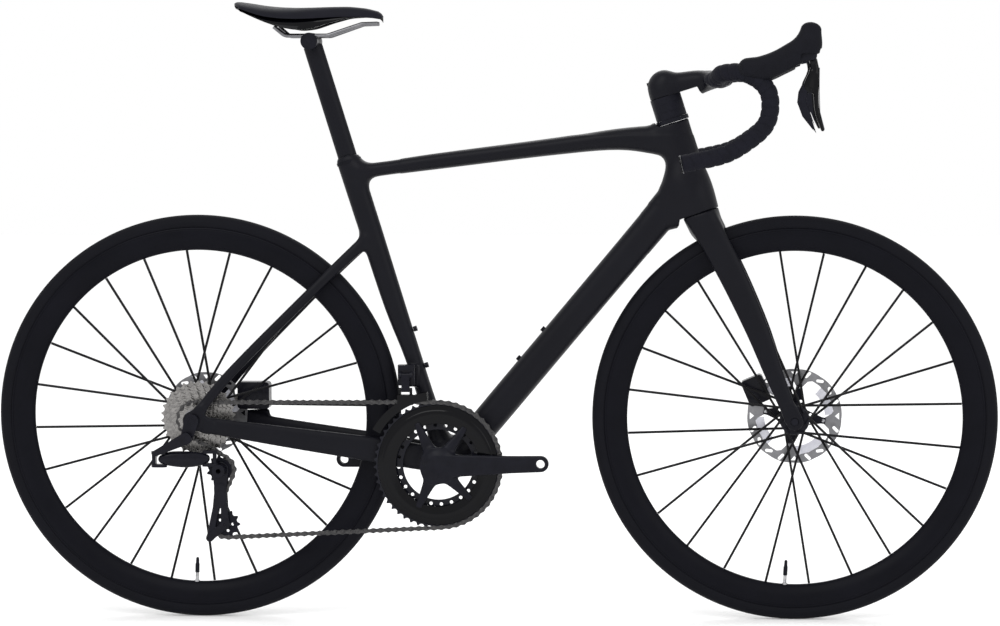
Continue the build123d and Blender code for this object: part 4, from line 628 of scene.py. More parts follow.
def at_angle(x, z, radius, degrees):
    """The point so far out from a centre at an angle."""
    return np.array([x + radius * math.cos(math.radians(degrees)),
                     z + radius * math.sin(math.radians(degrees))])


def slot_loop(x, z, length, width, turn):
    """A slot with round ends, turned by so many degrees."""
    half = np.linspace(-np.pi / 2, np.pi / 2, 7)
    u = np.concatenate([length / 2 - width / 2 + width / 2 * np.cos(half),
                        -(length / 2 - width / 2) - width / 2 * np.cos(half)])
    v = np.concatenate([width / 2 * np.sin(half), -width / 2 * np.sin(half)])
    c, s = math.cos(math.radians(turn)), math.sin(math.radians(turn))
    return np.stack([x + u * c - v * s, z + u * s + v * c], -1)


def sector_loop(x, z, inner, outer, start, stop, steps=14):
    """A sector of a ring between two radii and two angles in degrees."""
    a = np.radians(np.linspace(start, stop, steps))
    arc = np.stack([np.cos(a), np.sin(a)], -1)
    return np.vstack([arc * outer, arc[::-1] * inner]) + np.array([x, z])


lay_finish("fin_aluminium", (0.60, 0.60, 0.66), (0.72, 0.72, 0.78), 0.42, cloud=120, metal=0.7, bump=0.05)
arm_start = -9.0
for name, facts in wheel_facts.items():
    x, y, radius = facts["x"], facts["disc"], facts["disc_radius"]
    a = np.radians(np.arange(0, 360, 1.5))
    wave = 0.9 * np.abs(np.sin(a * 6 + 0.4)) ** 0.7
    rim_line = np.stack([x + (radius - 0.9 + wave) * np.cos(a),
                         axle_z + (radius - 0.9 + wave) * np.sin(a)], -1)
    band = radius - 14
    inside, rivets = [], []
    for arm in range(4):
        middle = arm_start + 90 * arm
        rivet = at_angle(x, axle_z, band - 17, middle)
        rivets.append(rivet)
        inside += [at_angle(x, axle_z, band, middle - 14 - k) for k in (60, 45, 30, 15, 4)]
        inside += [at_angle(x, axle_z, band - 4, middle - 12), at_angle(x, axle_z, band - 15, middle - 6),
                   at_angle(x, axle_z, band - 22, middle - 4), at_angle(x, axle_z, band - 22, middle + 4),
                   at_angle(x, axle_z, band - 15, middle + 6), at_angle(x, axle_z, band - 4, middle + 12)]
    windows = []
    for number in range(20):
        angle = 18 * number
        px, pz = at_angle(x, axle_z, radius - 7.2, angle)
        if number % 5 == 0:
            inner_point = at_angle(x, axle_z, radius - 12, angle)
            corners = [at_angle(x, axle_z, radius - 4.5, angle - 4.6), at_angle(x, axle_z, radius - 4.5,
                angle + 4.6)]
            windows.append(np.vstack([corners[0], corners[1], inner_point]))
        else:
            lean = (28, 62, 118, 152)[number % 5 - 1]
            windows.append(slot_loop(px, pz, 13.0, 5.2, angle + lean))
    half = 0.9
    ring_of_steel = flat_shape([rim_line, np.array(inside), *windows], y - half, y + half, 0.2)
    piece(name + "_braking_ring", [ring_of_steel], name + "_wheel", "rotor_steel", [name + "_rotor"])
    fins = [flat_shape([sector_loop(x, axle_z, band - 15, band - 0.5, arm_start + 90 * arm + 11,
                                    arm_start + 90 * arm + 56)], y - 0.6, y + 0.6, 0.2) for arm in range(4)]
    piece(name + "_rotor_fins", fins, name + "_wheel",
          "rotor_steel").data.materials[0] = finish["fin_aluminium"]
    star = []
    for arm in range(4):
        middle = arm_start + 90 * arm
        star += [at_angle(x, axle_z, 21, middle - 45), at_angle(x, axle_z, 28, middle - 24),
                 at_angle(x, axle_z, band - 20, middle - 7), at_angle(x, axle_z, band - 13, middle - 5.5),
                 at_angle(x, axle_z, band - 13, middle + 5.5), at_angle(x, axle_z, band - 20, middle + 7),
                 at_angle(x, axle_z, 28, middle + 24)]
    holes = [round_loop(*at_angle(x, axle_z, 27, arm_start + 90 * arm + turn), 2.6, 12)
             for arm in range(4) for turn in (-14, 14)]
    piece(name + "_rotor_spider",
          [flat_shape([np.array(star), round_loop(x, axle_z, 17.2, 40), *holes], y - 2.6, y - 0.95, 0.4),
           lathe([(13.2, y - 2.6), (19, y - 2.6), (20, y - 4), (19, y - 7), (13.2, y - 7)], 40, x, axle_z)],
          name + "_wheel", "anodised_black")
    for_rivets = np.array([[r[0], y - 3.4, r[1]] for r in rivets])
    piece(name + "_rotor_rivets",
          [bars(for_rivets, for_rivets + np.array([0, 5.2, 0]), [(0, 1.6, 1.6), (0.4, 2.8, 2.8), (4.8,
              2.8, 2.8), (5.2, 1.6, 1.6)], 14)],
          name + "_wheel", "bearing_steel")

# ---------------------------------------------------------------- cassette
# Twelve sprockets stamped from nickel-plated steel, lightened with windows between their arms and kept
# apart by
# spacers. A lock ring screws them on from the outside.
lay_finish("cassette_steel", (0.13, 0.126, 0.124), (0.32, 0.31, 0.30), 0.26, cloud=160, metal=1.0,
           swing=0.2,
           bump=0.06)
cog_teeth = [11, 12, 13, 14, 15, 16, 17, 19, 21, 24, 27, 30]
chain_pitch, chain_y = 12.7, -50.0
first_cog_y, cog_pitch = -50.0 - 3 * 3.56, 3.56


def pitch_radius(teeth):
    """Half of the chain's pitch over the sine of half a tooth's angle."""
    return chain_pitch / (2 * math.sin(math.pi / teeth))


def toothed(x, z, teeth, height=2.0, depth=2.6, start=0.0):
    """A chain wheel's outline: each tooth is a flat tip, two flanks and a round root, repeated round it."""
    radius = pitch_radius(teeth)
    share = np.array([-0.5, -0.30, -0.17, -0.07, 0.07, 0.17, 0.30])
    out = np.array([-depth, -depth * 0.75, 0.0, height, height, 0.0, -depth * 0.75])
    a = ((np.arange(teeth)[:, None] + share[None]) * 2 * np.pi / teeth).ravel() + math.radians(start)
    r = np.tile(radius + out, teeth)
    return np.stack([x + r * np.cos(a), z + r * np.sin(a)], -1)


sprockets = []
for number, teeth in enumerate(cog_teeth):
    y = first_cog_y + cog_pitch * number
    radius = pitch_radius(teeth)
    loops = [toothed(rear_x, axle_z, teeth, start=7.0 * number), round_loop(rear_x, axle_z, 17.3, 40)]
    if radius > 33:
        count = 6 if radius < 45 else 9
        for k in range(count):
            middle = 360 / count * k + 11 * number
            loops.append(sector_loop(rear_x, axle_z, 23 if radius < 45 else radius * 0.52, radius - 8.5,
                                     middle - 120 / count, middle + 120 / count, 8)[::-1])
    sprockets.append(flat_shape(loops, y - 0.8, y + 0.8, 0.3))
piece("sprockets", sprockets, "cassette", "cassette_steel", ["cassette"], crease=30)
spacers = [lathe([(12.1, first_cog_y + cog_pitch * n + 0.8), (19.5, first_cog_y + cog_pitch * n + 0.8),
                  (19.5, first_cog_y + cog_pitch * (n + 1) - 0.8), (12.1,
                      first_cog_y + cog_pitch * (n + 1) - 0.8)],
                 40, rear_x, axle_z) for n in range(11)]
piece("sprocket_spacers", spacers, "cassette", "anodised_black")
lock = [(12.1, first_cog_y - 0.8), (17.2, first_cog_y - 0.8), (17.6, first_cog_y - 1.4), (17,
    first_cog_y - 2.2),
        (12.1, first_cog_y - 2.2)]
piece("cassette_lock_ring", [lathe(lock, 48, rear_x, axle_z)], "cassette", "bearing_steel")

# ---------------------------------------------------------------- chainrings
# The big ring is aluminium with fifty-two teeth, its outer face closed by a glossy black cover whose edge
# is
# polished bright. The small ring of thirty-six teeth sits 7 mm inside it, on bolts through the spider.
lay_finish("gloss_black", (0.0006, 0.0006, 0.0013), (0.0010, 0.0011, 0.0021), 0.1, cloud=50, coat=0.12,
           coat_rough=0.05, bump=0.02)
lay_finish("ring_black", (0.0050, 0.0052, 0.0084), (0.0084, 0.0086, 0.0138), 0.22, cloud=90, coat=0.1)
ring_arms = (116.0, 54.0, 314.0, 245.0)
small_ring_y = chain_y + 7.0
big_radius, small_radius = pitch_radius(52), pitch_radius(36)
big = flat_shape([toothed(bracket_x, bracket_z, 52, start=2.0), round_loop(bracket_x, bracket_z,
    small_radius - 1.5, 96)],
                 chain_y - 1.0, chain_y + 1.0, 0.3)
piece("big_ring", [big], "crankset", "ring_black", ["chainrings"], crease=30)
cover = lathe([(small_radius - 3.5, chain_y - 1.1), (small_radius - 3.0, chain_y - 3.0),
               (small_radius + 8, chain_y - 4.6), (big_radius - 17, chain_y - 4.8), (big_radius - 13.2,
                   chain_y - 4.2),
               (big_radius - 12.4, chain_y - 3.6), (big_radius - 10.2, chain_y - 3.4), (big_radius - 5.4,
                   chain_y - 2.0),
               (big_radius - 4.6, chain_y - 1.1)], 160, bracket_x, bracket_z)
piece("ring_cover", [cover], "crankset", "gloss_black", crease=28)
small = flat_shape([toothed(bracket_x, bracket_z, 36), round_loop(bracket_x, bracket_z, small_radius - 14,
    72)]
                   + [round_loop(*at_angle(bracket_x, bracket_z, small_radius - 6.5, 15 * k + 4), 2.9, 12)
                      for k in range(24)], small_ring_y - 1.0, small_ring_y + 1.0, 0.3)
piece("small_ring", [small], "crankset", "ring_black", crease=30)

# ---------------------------------------------------------------- cranks
# Each crank arm is forged hollow from aluminium and anodised satin black. The drive side's four thin spider arms
# grow out of the arm's root and carry both rings. Thin bright steel strips down the upper two arms are a painted
# highlight: they stand for the light that falls from above on those arms' edges.
crank_turn = 1.4
pedal = 172.5 * np.array([math.cos(math.radians(crank_turn)), math.sin(math.radians(crank_turn))])
crank_clay = Clay((bracket_x - 100, -76, bracket_z - 98), (bracket_x + 196, -28, bracket_z + 98), 1.15)
crank_clay.plate(-58.6, -71.4, [(bracket_x, bracket_z, 19.5), (bracket_x + 60, bracket_z + 1.5, 17.5),
                              (bracket_x + pedal[0] * 0.7, bracket_z + pedal[1] * 0.7, 14.5),
                              (bracket_x + pedal[0], bracket_z + pedal[1], 13.6)], blend=4, edge=4.0)
crank_clay.rod((bracket_x, -54, bracket_z), (bracket_x, -66, bracket_z), 29, blend=6)
for angle in ring_arms:
    root, tip = at_angle(bracket_x, bracket_z, 14, angle), at_angle(bracket_x, bracket_z,
        small_radius + 4, angle)
    crank_clay.tube([(root[0], -62, root[1], 13, 27), ((root[0] + tip[0]) / 2, -58.8,
                                                       (root[1] + tip[1]) / 2, 8.5, 17),
                     (tip[0], -54.2, tip[1], 3.4, 10)], blend=9, square=2.6)
    post = at_angle(bracket_x, bracket_z, small_radius - 9, angle)
    crank_clay.rod((post[0], -45, post[1]), (post[0], -54, post[1]), 4.6, blend=3)
crank_clay.rod((bracket_x, -34.6, bracket_z), (bracket_x, -60, bracket_z), 16.8, blend=3)
hole = np.array([bracket_x + pedal[0], 0, bracket_z + pedal[1]])
crank_clay.rod(hole + [0, -50, 0], hole + [0, -80, 0], 7.1, blend=1.0, carve=True)
crank_clay.rod((bracket_x, -20, bracket_z), (bracket_x, -62, bracket_z), 12.1, blend=0.8, carve=True)
piece("drive_crank_arm", [crank_clay.surface()], "crankset", "anodised_black", ["drive_crank"], crease=0)
piece("spindle", [lathe([(6, -61), (11.8, -61), (12, -60), (12, 67), (11.8, 68), (6, 68)], 48, bracket_x,
                        bracket_z)],
      "crankset", "bearing_steel")
# painted highlight: thin bright steel strips along the upper two spider arms stand in for light catching their
# edges from above
highlight_strips = []
for angle in ring_arms[:2]:
    for lean in (-1, 1):
        start = at_angle(bracket_x, bracket_z, 27, angle + lean * 9)
        end = at_angle(bracket_x, bracket_z, small_radius - 2, angle + lean * 1.5)
        highlight_strips.append(bars(np.array([[start[0], -63.4, start[1]]]), np.array([[end[0], -55.8, end[1]]]),
                           [(0, 0.2, 0.2), (6, 0.9, 0.9), (-8, 1.1, 1.1), (-0.1, 0.4, 0.4)], 10))
piece("spider_highlight_strips", highlight_strips, "crankset", "bearing_steel")
left_clay = Clay((bracket_x - 196, 30, bracket_z - 30), (bracket_x + 30, 76, bracket_z + 30), 1.15)
left_clay.plate(58.6, 71.4, [(bracket_x, bracket_z, 19), (bracket_x - pedal[0] * 0.6,
    bracket_z - pedal[1] * 0.6, 15),
                           (bracket_x - pedal[0], bracket_z - pedal[1], 13.6)], blend=4, edge=4.0)
left_clay.rod((bracket_x, 38.6, bracket_z), (bracket_x, 60, bracket_z), 16.8, blend=5)
left_clay.rod((bracket_x, 20, bracket_z), (bracket_x, 90, bracket_z), 12.2, blend=0.8, carve=True)
hole = np.array([bracket_x - pedal[0], 0, bracket_z - pedal[1]])
left_clay.rod(hole + [0, 50, 0], hole + [0, 80, 0], 7.1, blend=1.0, carve=True)
piece("left_crank_arm", [left_clay.surface()], "crankset", "anodised_black", ["left_crank"], crease=0)

# ---------------------------------------------------------------- chain
# The chain has steel plates riveted in pairs with bushed rollers between. Inner and outer pairs alternate,
# and the
# plates are waisted and lightly grey from their coating.
lay_finish("chain_steel", (0.035, 0.035, 0.038), (0.085, 0.083, 0.082), 0.32, cloud=220, metal=1.0,
           swing=0.2,
           bump=0.08)
guide = np.array([-457.5, 255.0])
tension = guide + 92.2 * np.array([math.cos(math.radians(85.6)), -math.sin(math.radians(85.6))])
chain_wheels = [((bracket_x, bracket_z), big_radius, 1), (tuple(tension), pitch_radius(11), 1),
                (tuple(guide), pitch_radius(11), -1), ((rear_x, axle_z), pitch_radius(14), 1)]


def tangent_run(first, second):
    """The straight run between two chain wheels. Its heading turns by the arc sine of the radii, taken with
    their senses, over the gap."""
    (ax, az), ar, a_sense = first
    (bx, bz), br, b_sense = second
    gap = math.hypot(bx - ax, bz - az)
    heading = math.atan2(bz - az, bx - ax) - math.asin((a_sense * ar - b_sense * br) / gap)
    side = np.array([-math.sin(heading), math.cos(heading)])
    return np.array([ax, az]) + side * a_sense * ar, np.array([bx, bz]) + side * b_sense * br


runs = [tangent_run(chain_wheels[i], chain_wheels[(i + 1) % 4]) for i in range(4)]
route = []
for i in range(4):
    (cx, cz), radius, sense = chain_wheels[(i + 1) % 4]
    arrive, leave = runs[i][1], runs[(i + 1) % 4][0]
    first = math.atan2(arrive[1] - cz, arrive[0] - cx)
    turn = (first - math.atan2(leave[1] - cz, leave[0] - cx)) * sense % (2 * math.pi)
    a = first - sense * turn * np.linspace(0, 1, 60)[1:-1]
    route += [runs[i][0][None], arrive[None], np.stack([cx + radius * np.cos(a), cz + radius * np.sin(a)],
                                                       -1)]
route = np.vstack(route + [runs[0][0][None]])
steps = np.concatenate([[0], np.cumsum(np.linalg.norm(np.diff(route, axis=0), axis=1))])
links = int(round(steps[-1] / chain_pitch / 2)) * 2
reach = np.arange(links) * steps[-1] / links
pins = np.stack([np.interp(reach, steps, route[:, 0]), np.interp(reach, steps, route[:, 1])], -1)
ahead = np.roll(pins, -1, 0) - pins
waist = np.array([(-0.5, 0.0), (-0.36, 0.30), (-0.12, 0.36), (0.20, 0.27), (0.5, 0.22), (0.80, 0.27),
                  (1.12, 0.36),
                  (1.36, 0.30), (1.5, 0.0), (1.36, -0.30), (1.12, -0.36), (0.80, -0.27), (0.5, -0.22),
                  (0.20, -0.27), (-0.12, -0.36), (-0.36, -0.30)])
waist[:, 0] = (waist[:, 0] - 0.5) * 0.72 + 0.5


def link_plates(chosen, y):
    """Waisted plates for the chosen links: each outline point is a share along the link and to its side."""
    base, along = pins[chosen], ahead[chosen]
    side = np.stack([-along[:, 1], along[:, 0]], -1)
    flat = base[:, None] + waist[None, :, :1] * along[:, None] + waist[None, :, 1:] * side[:, None] * 0.92
    rows = []
    for level, inset in ((-0.45, 0.94), (-0.25, 1.0), (0.25, 1.0), (0.45, 0.94)):
        centre = flat.mean(1, keepdims=True)
        ring = centre + (flat - centre) * inset
        rows.append(np.stack([ring[..., 0], np.full(ring.shape[:2], y + level), ring[..., 1]], -1))
    points = np.stack(rows, 1)
    count, sides = len(chosen), len(waist)
    one = wrap(4, sides, False, True).tolist()
    one += [list(range(sides))[::-1], [3 * sides + k for k in range(sides)]]
    faces = [[i + n * 4 * sides for i in f] for n in range(count) for f in one]
    flat_points = points.reshape(-1, 3)
    volume = sum(np.dot(np.cross(flat_points[f[0]], flat_points[f[k]]), flat_points[f[k + 1]])
                 for f in one for k in range(1, len(f) - 1))
    return flat_points, faces if volume > 0 else [f[::-1] for f in faces]


even, odd = np.arange(0, links, 2), np.arange(1, links, 2)
plates = [link_plates(even, chain_y + y) for y in (-2.15, 2.15)]
plates += [link_plates(odd, chain_y + y) for y in (-1.15, 1.15)]
piece("chain_plates", plates, "frame", "chain_steel", ["chain"], crease=30)
centres = np.stack([pins[:, 0], np.full(links, chain_y - 2.9), pins[:, 1]], -1)
piece("chain_pins", [bars(centres, centres + np.array([0, 5.8, 0]), [(0, 1.2, 1.2), (0.3, 1.8, 1.8), (5.5,
    1.8, 1.8), (5.8, 1.2, 1.2)], 8),
                     bars(centres + np.array([0, 2.2, 0]), centres + np.array([0, 3.6, 0]), [(0, 3.7,
                         3.7), (1.4, 3.7, 3.7)], 10)],
      "frame", "chain_steel")

# ---------------------------------------------------------------- derailleur pulleys
# Two black resin pulleys of eleven teeth, each with a dust cap over its bearing; the cap is part of the same
# piece and has the wheel's black finish.
for name, (px, pz) in (("guide", guide), ("tension", tension)):
    wheel = flat_shape([toothed(px, pz, 11, height=1.7, depth=3.2), round_loop(px, pz, 5.2, 24)]
                       + [round_loop(*at_angle(px, pz, 11.5, 72 * k), 2.4, 12) for k in range(5)],
                       chain_y - 1.0, chain_y + 1.0, 0.3)
    hub = lathe([(2.6, chain_y - 3.4), (8.4, chain_y - 3.4), (8.8, chain_y - 2.6), (8.8, chain_y + 2.6),
                 (8.4, chain_y + 3.4), (2.6, chain_y + 3.4)], 32, px, pz)
    piece(name + "_pulley_wheel", [wheel, hub], name + "_pulley", "plastic_black", [name + "_pulley"],
          crease=30)

# ---------------------------------------------------------------- fork
# The fork is one carbon moulding: broad shoulders under the head tube, and two blades that taper and sweep
# forward to
# the thru-axle.
fork_clay = Clay((300, -72, 312), (545, 72, 730), 1.8)
fork_clay.tube([(*on_steer(197), 56, 58), (*on_steer(214), 58, 58), (*on_steer(228, 4), 60, 54)], blend=8,
               square=2.2)
for side in (-1, 1):
    fork_clay.tube([(338, side * 17, 683, 30, 50), (355, side * 27, 655, 19, 47), (396, side * 38, 579,
        16, 44),
                    (437, side * 45, 490, 15, 38), (464, side * 50, 420, 13, 31), (495, side * 55, 345,
                        11, 24)],
                   blend=12, square=2.4)
    fork_clay.plate(side * 50, side * 60, [(front_x, axle_z, 14), (492, 356, 12)], blend=6)
fork_clay.rod((front_x, 72, axle_z), (front_x, -72, axle_z), 6.3, blend=0.8, carve=True)
fork_clay.rod(on_steer(150), on_steer(194.3), 60, blend=0.8, carve=True)
for side in (-1, 1):
    fork_clay.rod((front_x, side * 60.2, axle_z), (front_x, side * 80, axle_z), 60, blend=0.5, carve=True)
    fork_clay.rod((front_x, side * 49.8, axle_z), (front_x, side * 30, axle_z), 28, blend=0.5, carve=True)
piece("fork_moulding", [fork_clay.surface()],
      "steering", "carbon_black", ["fork"], crease=0)

# ---------------------------------------------------------------- handlebar and stem
# Bar and stem are one hollow carbon moulding. The stem rises from the steerer, broadens and runs into a
# flat wing, which
# turns round at each end and bends down into the drop.
bar_x, bar_z, bar_half = 372.0, 902.5, 200.0
drop_points = [(bar_x, 62, bar_z), (bar_x, 118, bar_z), (bar_x, 134, bar_z), (bar_x + 7, 166, bar_z + 9),
               (bar_x + 46, 195, bar_z + 13), (bar_x + 88, 200, bar_z - 14), (bar_x + 85, 202, bar_z - 74),
               (bar_x + 21, 205, bar_z - 120), (bar_x - 54, 207, bar_z - 135)]
drop_radii = [8, 40, 30, 24, 22, 26, 60]


def filleted(points, radii, step=2.0):
    """A chain of straight lines whose corners are arcs: each starts the radius times the tangent of half
    the turn before its corner."""
    p = np.array(points, float)
    parts = [p[0][None]]
    for corner, radius in enumerate(radii, 1):
        a, b = p[corner] - p[corner - 1], p[corner + 1] - p[corner]
        a, b = a / np.linalg.norm(a), b / np.linalg.norm(b)
        turn = math.acos(np.clip(a @ b, -1, 1))
        if turn < 1e-3:
            continue
        start = p[corner] - a * radius * math.tan(turn / 2)
        inwards = b - a * (a @ b)
        inwards /= np.linalg.norm(inwards)
        t = np.linspace(0, turn, 12)[:, None]
        parts.append(start + radius * (np.sin(t) * a + (1 - np.cos(t)) * inwards))
    path = np.vstack(parts + [p[-1][None]])
    reach = np.concatenate([[0], np.cumsum(np.linalg.norm(np.diff(path, axis=0), axis=1))])
    s = np.linspace(0, reach[-1], int(reach[-1] / step) + 1)
    path = np.stack([np.interp(s, reach, path[:, i]) for i in range(3)], -1)
    soft = path.copy()
    for _ in range(int(560 / step**2)):
        soft[1:-1] = (soft[:-2] + 2 * soft[1:-1] + soft[2:]) / 4
    share = np.clip((s - 120) / 40, 0, 1)[:, None]
    return path * (1 - share) + soft * share, s


def sweep_ring(path, half_u, half_v, first, steps):
    """A tube along a path. Half widths are given for every path point and ring angle, and the first side
    direction is carried along the path without twisting."""
    tangent = np.gradient(path, axis=0)
    tangent /= np.linalg.norm(tangent, axis=1, keepdims=True)
    side = np.array(first, float)
    sides = []
    for t in tangent:
        side = side - t * (side @ t)
        side /= np.linalg.norm(side)
        sides.append(side)
    sides = np.array(sides)
    third = np.cross(tangent, sides)
    a = 2 * np.pi * np.arange(steps) / steps
    points = (path[:, None] + (half_u * np.cos(a)[None])[..., None] * sides[:, None]
              + (half_v * np.sin(a)[None])[..., None] * third[:, None])
    faces = wrap(len(path), steps, False, True).tolist()
    faces += [list(range(steps))[::-1], [(len(path) - 1) * steps + k for k in range(steps)]]
    flat = points.reshape(-1, 3)
    volume = sum(np.dot(np.cross(flat[f[0]], flat[f[k]]), flat[f[k + 1]]) for f in faces for k in range(1,
        len(f) - 1))
    return flat, faces if volume > 0 else [f[::-1] for f in faces]


bar_clay = Clay((238, -128, 850), (405, 128, 935), 1.5)
bar_clay.tube([(*on_steer(-7.5), 50, 50), (*on_steer(-15), 49, 50), (*on_steer(-22), 46, 48)], blend=6,
              square=2.3)
bar_clay.tube([(*on_steer(-27, 6), 46, 44), (303, 0, 890.5, 42, 48), (338, 0, 898, 46, 40), (362, 0,
    bar_z, 66, 25)],
              blend=12, square=2.6)
bar_clay.block((bar_x, 0, bar_z), (20, 124, 10.6), blend=13, edge=9.5)
bar_clay.rod(on_steer(-6.9), on_steer(30), 60, blend=0.6, carve=True)
shells = [bar_clay.surface()]
for side in (-1, 1):
    path, reach = filleted([(x, side * y, z) for x, y, z in drop_points], drop_radii)
    cone = np.clip((reach - 52) / 20, 0, 1)[:, None]
    shells.append(sweep_ring(path, 20 - 8 * cone, 10.5 + 1.5 * cone, (1, 0, 0), 24))
piece("bar_and_stem", shells, "steering", "carbon_black", ["handlebar"], crease=50)

# ---------------------------------------------------------------- bar tape
# Cork tape, 2.5 mm thick, is wound from the end of the bar up to the flat of the wing. Each turn laps half
# of the one
# before, so a raised edge runs round the bar in a screw.
lay_finish("tape_black", (0.0055, 0.0056, 0.0090), (0.0084, 0.0086, 0.0138), 0.66, cloud=70, pores=0.95,
           grain_scale=700, bump=0.5, bump_depth=0.0004, specular=0.08)
tape_pitch, tape_thick = 15.0, 2.4
shells = []
for side in (-1, 1):
    path, reach = filleted([(x, side * y, z) for x, y, z in drop_points], drop_radii, step=1.0)
    cone = np.clip((reach - 52) / 20, 0, 1)[:, None]
    a = 2 * np.pi * np.arange(56) / 56
    lap = (reach[:, None] / tape_pitch + side * a[None] / (2 * np.pi)) % 1.0
    crown = 0.75 * np.sin(np.pi * np.clip(lap * 1.08, 0, 1)) ** 0.6 - 0.7 * np.exp(-((np.minimum(lap,
        1 - lap) / 0.05) ** 2))
    end = 1 - np.clip((6 - reach) / 6, 0, 1)[:, None] ** 2 * 0.35
    shells.append(sweep_ring(path, 20 - 8 * cone + (tape_thick + crown) * end - 0.6,
                             10.5 + 1.5 * cone + (tape_thick + crown) * end - 0.6, (1, 0, 0), 56))
piece("tape_windings", shells, "steering", "tape_black", ["bar_tape"], crease=0)

# ---------------------------------------------------------------- brake hoods
# A black rubber hood is stretched over each lever body. It grips the bar with a wide collar and rises at
# the front into
# a tall rounded horn, which hides the hydraulic cylinder.
lay_finish("rubber_black", (0.0042, 0.0043, 0.0066), (0.0067, 0.0069, 0.0102), 0.62, cloud=50, pores=0.8,
           grain_scale=1600, bump=0.3, bump_depth=0.0002, specular=0.08)
hood_x, pivot_x, pivot_z = bar_x + 48, bar_x + 152, bar_z + 32
for name, side in (("left", 1), ("right", -1)):
    y = side * bar_half
    hood = Clay((hood_x - 20, y - 26, bar_z - 32), (hood_x + 132, y + 26, bar_z + 104), 1.2)
    hood.tube([(hood_x + 2, y - side * 2, bar_z + 18, 33, 31), (hood_x + 26, y, bar_z + 17, 35, 40),
               (hood_x + 52, y, bar_z + 27, 34, 39), (hood_x + 78, y, bar_z + 41, 33, 40),
               (hood_x + 98, y, bar_z + 54, 31, 36)], blend=8, square=2.5)
    hood.tube([(hood_x + 97, y, bar_z + 44, 31, 38), (hood_x + 100, y, bar_z + 60, 29, 37),
               (hood_x + 102, y, bar_z + 78, 24, 33)], blend=14, square=2.3)
    hood.block((hood_x + 119, y, bar_z), (33, 40, 40), blend=1.5, edge=3, carve=True)
    hood.block((pivot_x - 4, y, pivot_z + 2), (22, 8.5, 14), blend=1.0, edge=2, carve=True)
    piece(name + "_hood_rubber", [hood.surface()], "steering", "rubber_black",
          ["lever_hoods"] if side == 1 else (), crease=0)

# ---------------------------------------------------------------- lever bodies
# Under each hood is a moulded black body. It clamps to the bar, holds the cylinder and the lever's pivot,
# and is
# slotted for the lever.
lay_finish("bolt_black", (0.0050, 0.0052, 0.0078), (0.0084, 0.0086, 0.0132), 0.3, cloud=150)
for name, side in (("left", 1), ("right", -1)):
    y = side * bar_half
    body = Clay((hood_x + 30, y - 14, bar_z - 4), (hood_x + 124, y + 14, bar_z + 86), 1.1)
    body.tube([(hood_x + 52, y, bar_z + 24, 20, 26), (hood_x + 82, y, bar_z + 36, 20.5, 26),
               (pivot_x + 1, y, pivot_z + 7, 20.5, 24)], blend=4, square=3)
    body.tube([(hood_x + 101, y, bar_z + 44, 20, 24), (hood_x + 103, y, bar_z + 70, 18, 20)], blend=6,
              square=2.6)
    body.block((pivot_x + 6, y, pivot_z - 12), (22, 7.5, 20), blend=0.8, edge=1, carve=True)
    piece(name + "_lever_body", [body.surface()], "steering", "plastic_black",
          ["lever_brackets"] if side == 1 else (), crease=0)
    pin = np.array([[pivot_x, y - 10.4, pivot_z]])
    piece(name + "_lever_pin", [bars(pin, pin + np.array([0, 20.8, 0]), [(0, 1.7, 1.7), (0.4, 2.3, 2.3),
        (20.4, 2.3, 2.3), (20.8, 1.7, 1.7)], 16)],
          "steering", "bolt_black")

# ---------------------------------------------------------------- brake levers
# Glossy carbon blades, each curved to hook two fingers, with a bright rolled edge at the tip.
for name, side in (("left", 1), ("right", -1)):
    y = side * bar_half
    blade = Clay((pivot_x - 20, y - 12, pivot_z - 124), (pivot_x + 30, y + 12, pivot_z + 12), 0.8)
    blade.rod((pivot_x, y - 6.8, pivot_z), (pivot_x, y + 6.8, pivot_z), 5.5, blend=3)
    blade.tube([(pivot_x + 2, y, pivot_z - 4, 13, 13), (pivot_x + 5, y, pivot_z - 24, 12.5, 14),
                (pivot_x + 6, y, pivot_z - 52, 11, 9), (pivot_x + 8.5, y, pivot_z - 84, 10.5, 7.5),
                (pivot_x + 17, y, pivot_z - 112, 10, 6)], blend=4, square=2.6)
    blade.tube([(pivot_x + 0, y, pivot_z - 22, 12, 10), (pivot_x - 7, y, pivot_z - 42, 11, 13),
                (pivot_x - 4, y, pivot_z - 52, 8, 8)], blend=5, square=2.4)
    blade.rod((pivot_x, y - 20, pivot_z), (pivot_x, y + 20, pivot_z), 2.6, blend=0.4, carve=True)
    piece(name + "_lever_blade", [blade.surface()], name + "_lever", "gloss_black",
          [name + "_brake_lever"], crease=0)

# ---------------------------------------------------------------- saddle
# A firm foam pad under a smooth black skin, glued to a glossy moulded shell whose sides dip over the
# rails. A shallow
# channel runs down the middle, and a fine seam follows the skin's edge.
lay_finish("saddle_skin", (0.0046, 0.0047, 0.0078), (0.0076, 0.0077, 0.0126), 0.5, cloud=30, pores=0.9,
           grain_scale=1300, bump=0.35, bump_depth=0.00025, specular=0.09, sheen=0.04)
saddle_x = np.array([-185, -187, -192, -210, -240, -270, -300, -325, -350, -375, -400, -414, -423, -428.0])
saddle_half = np.array([3, 9, 13.5, 20.5, 25, 29, 36, 46, 58, 67.5, 72, 67, 54, 30.0])
saddle_top = np.array([1007, 1011, 1014.5, 1020.5, 1023.6, 1023.2, 1022, 1021.2, 1021.8, 1024, 1028, 1030,
                       1030.6, 1029.4])
skirt = np.array([1006, 1004, 1003, 1005, 1006, 1005, 1003, 1002, 1002.5, 1005.5, 1013, 1019, 1023, 1026.0])
shell_edge = np.array([1005, 1003, 1002, 1005.5, 1004, 996, 986, 983.5, 988, 997, 1008, 1015, 1020, 1025.0])


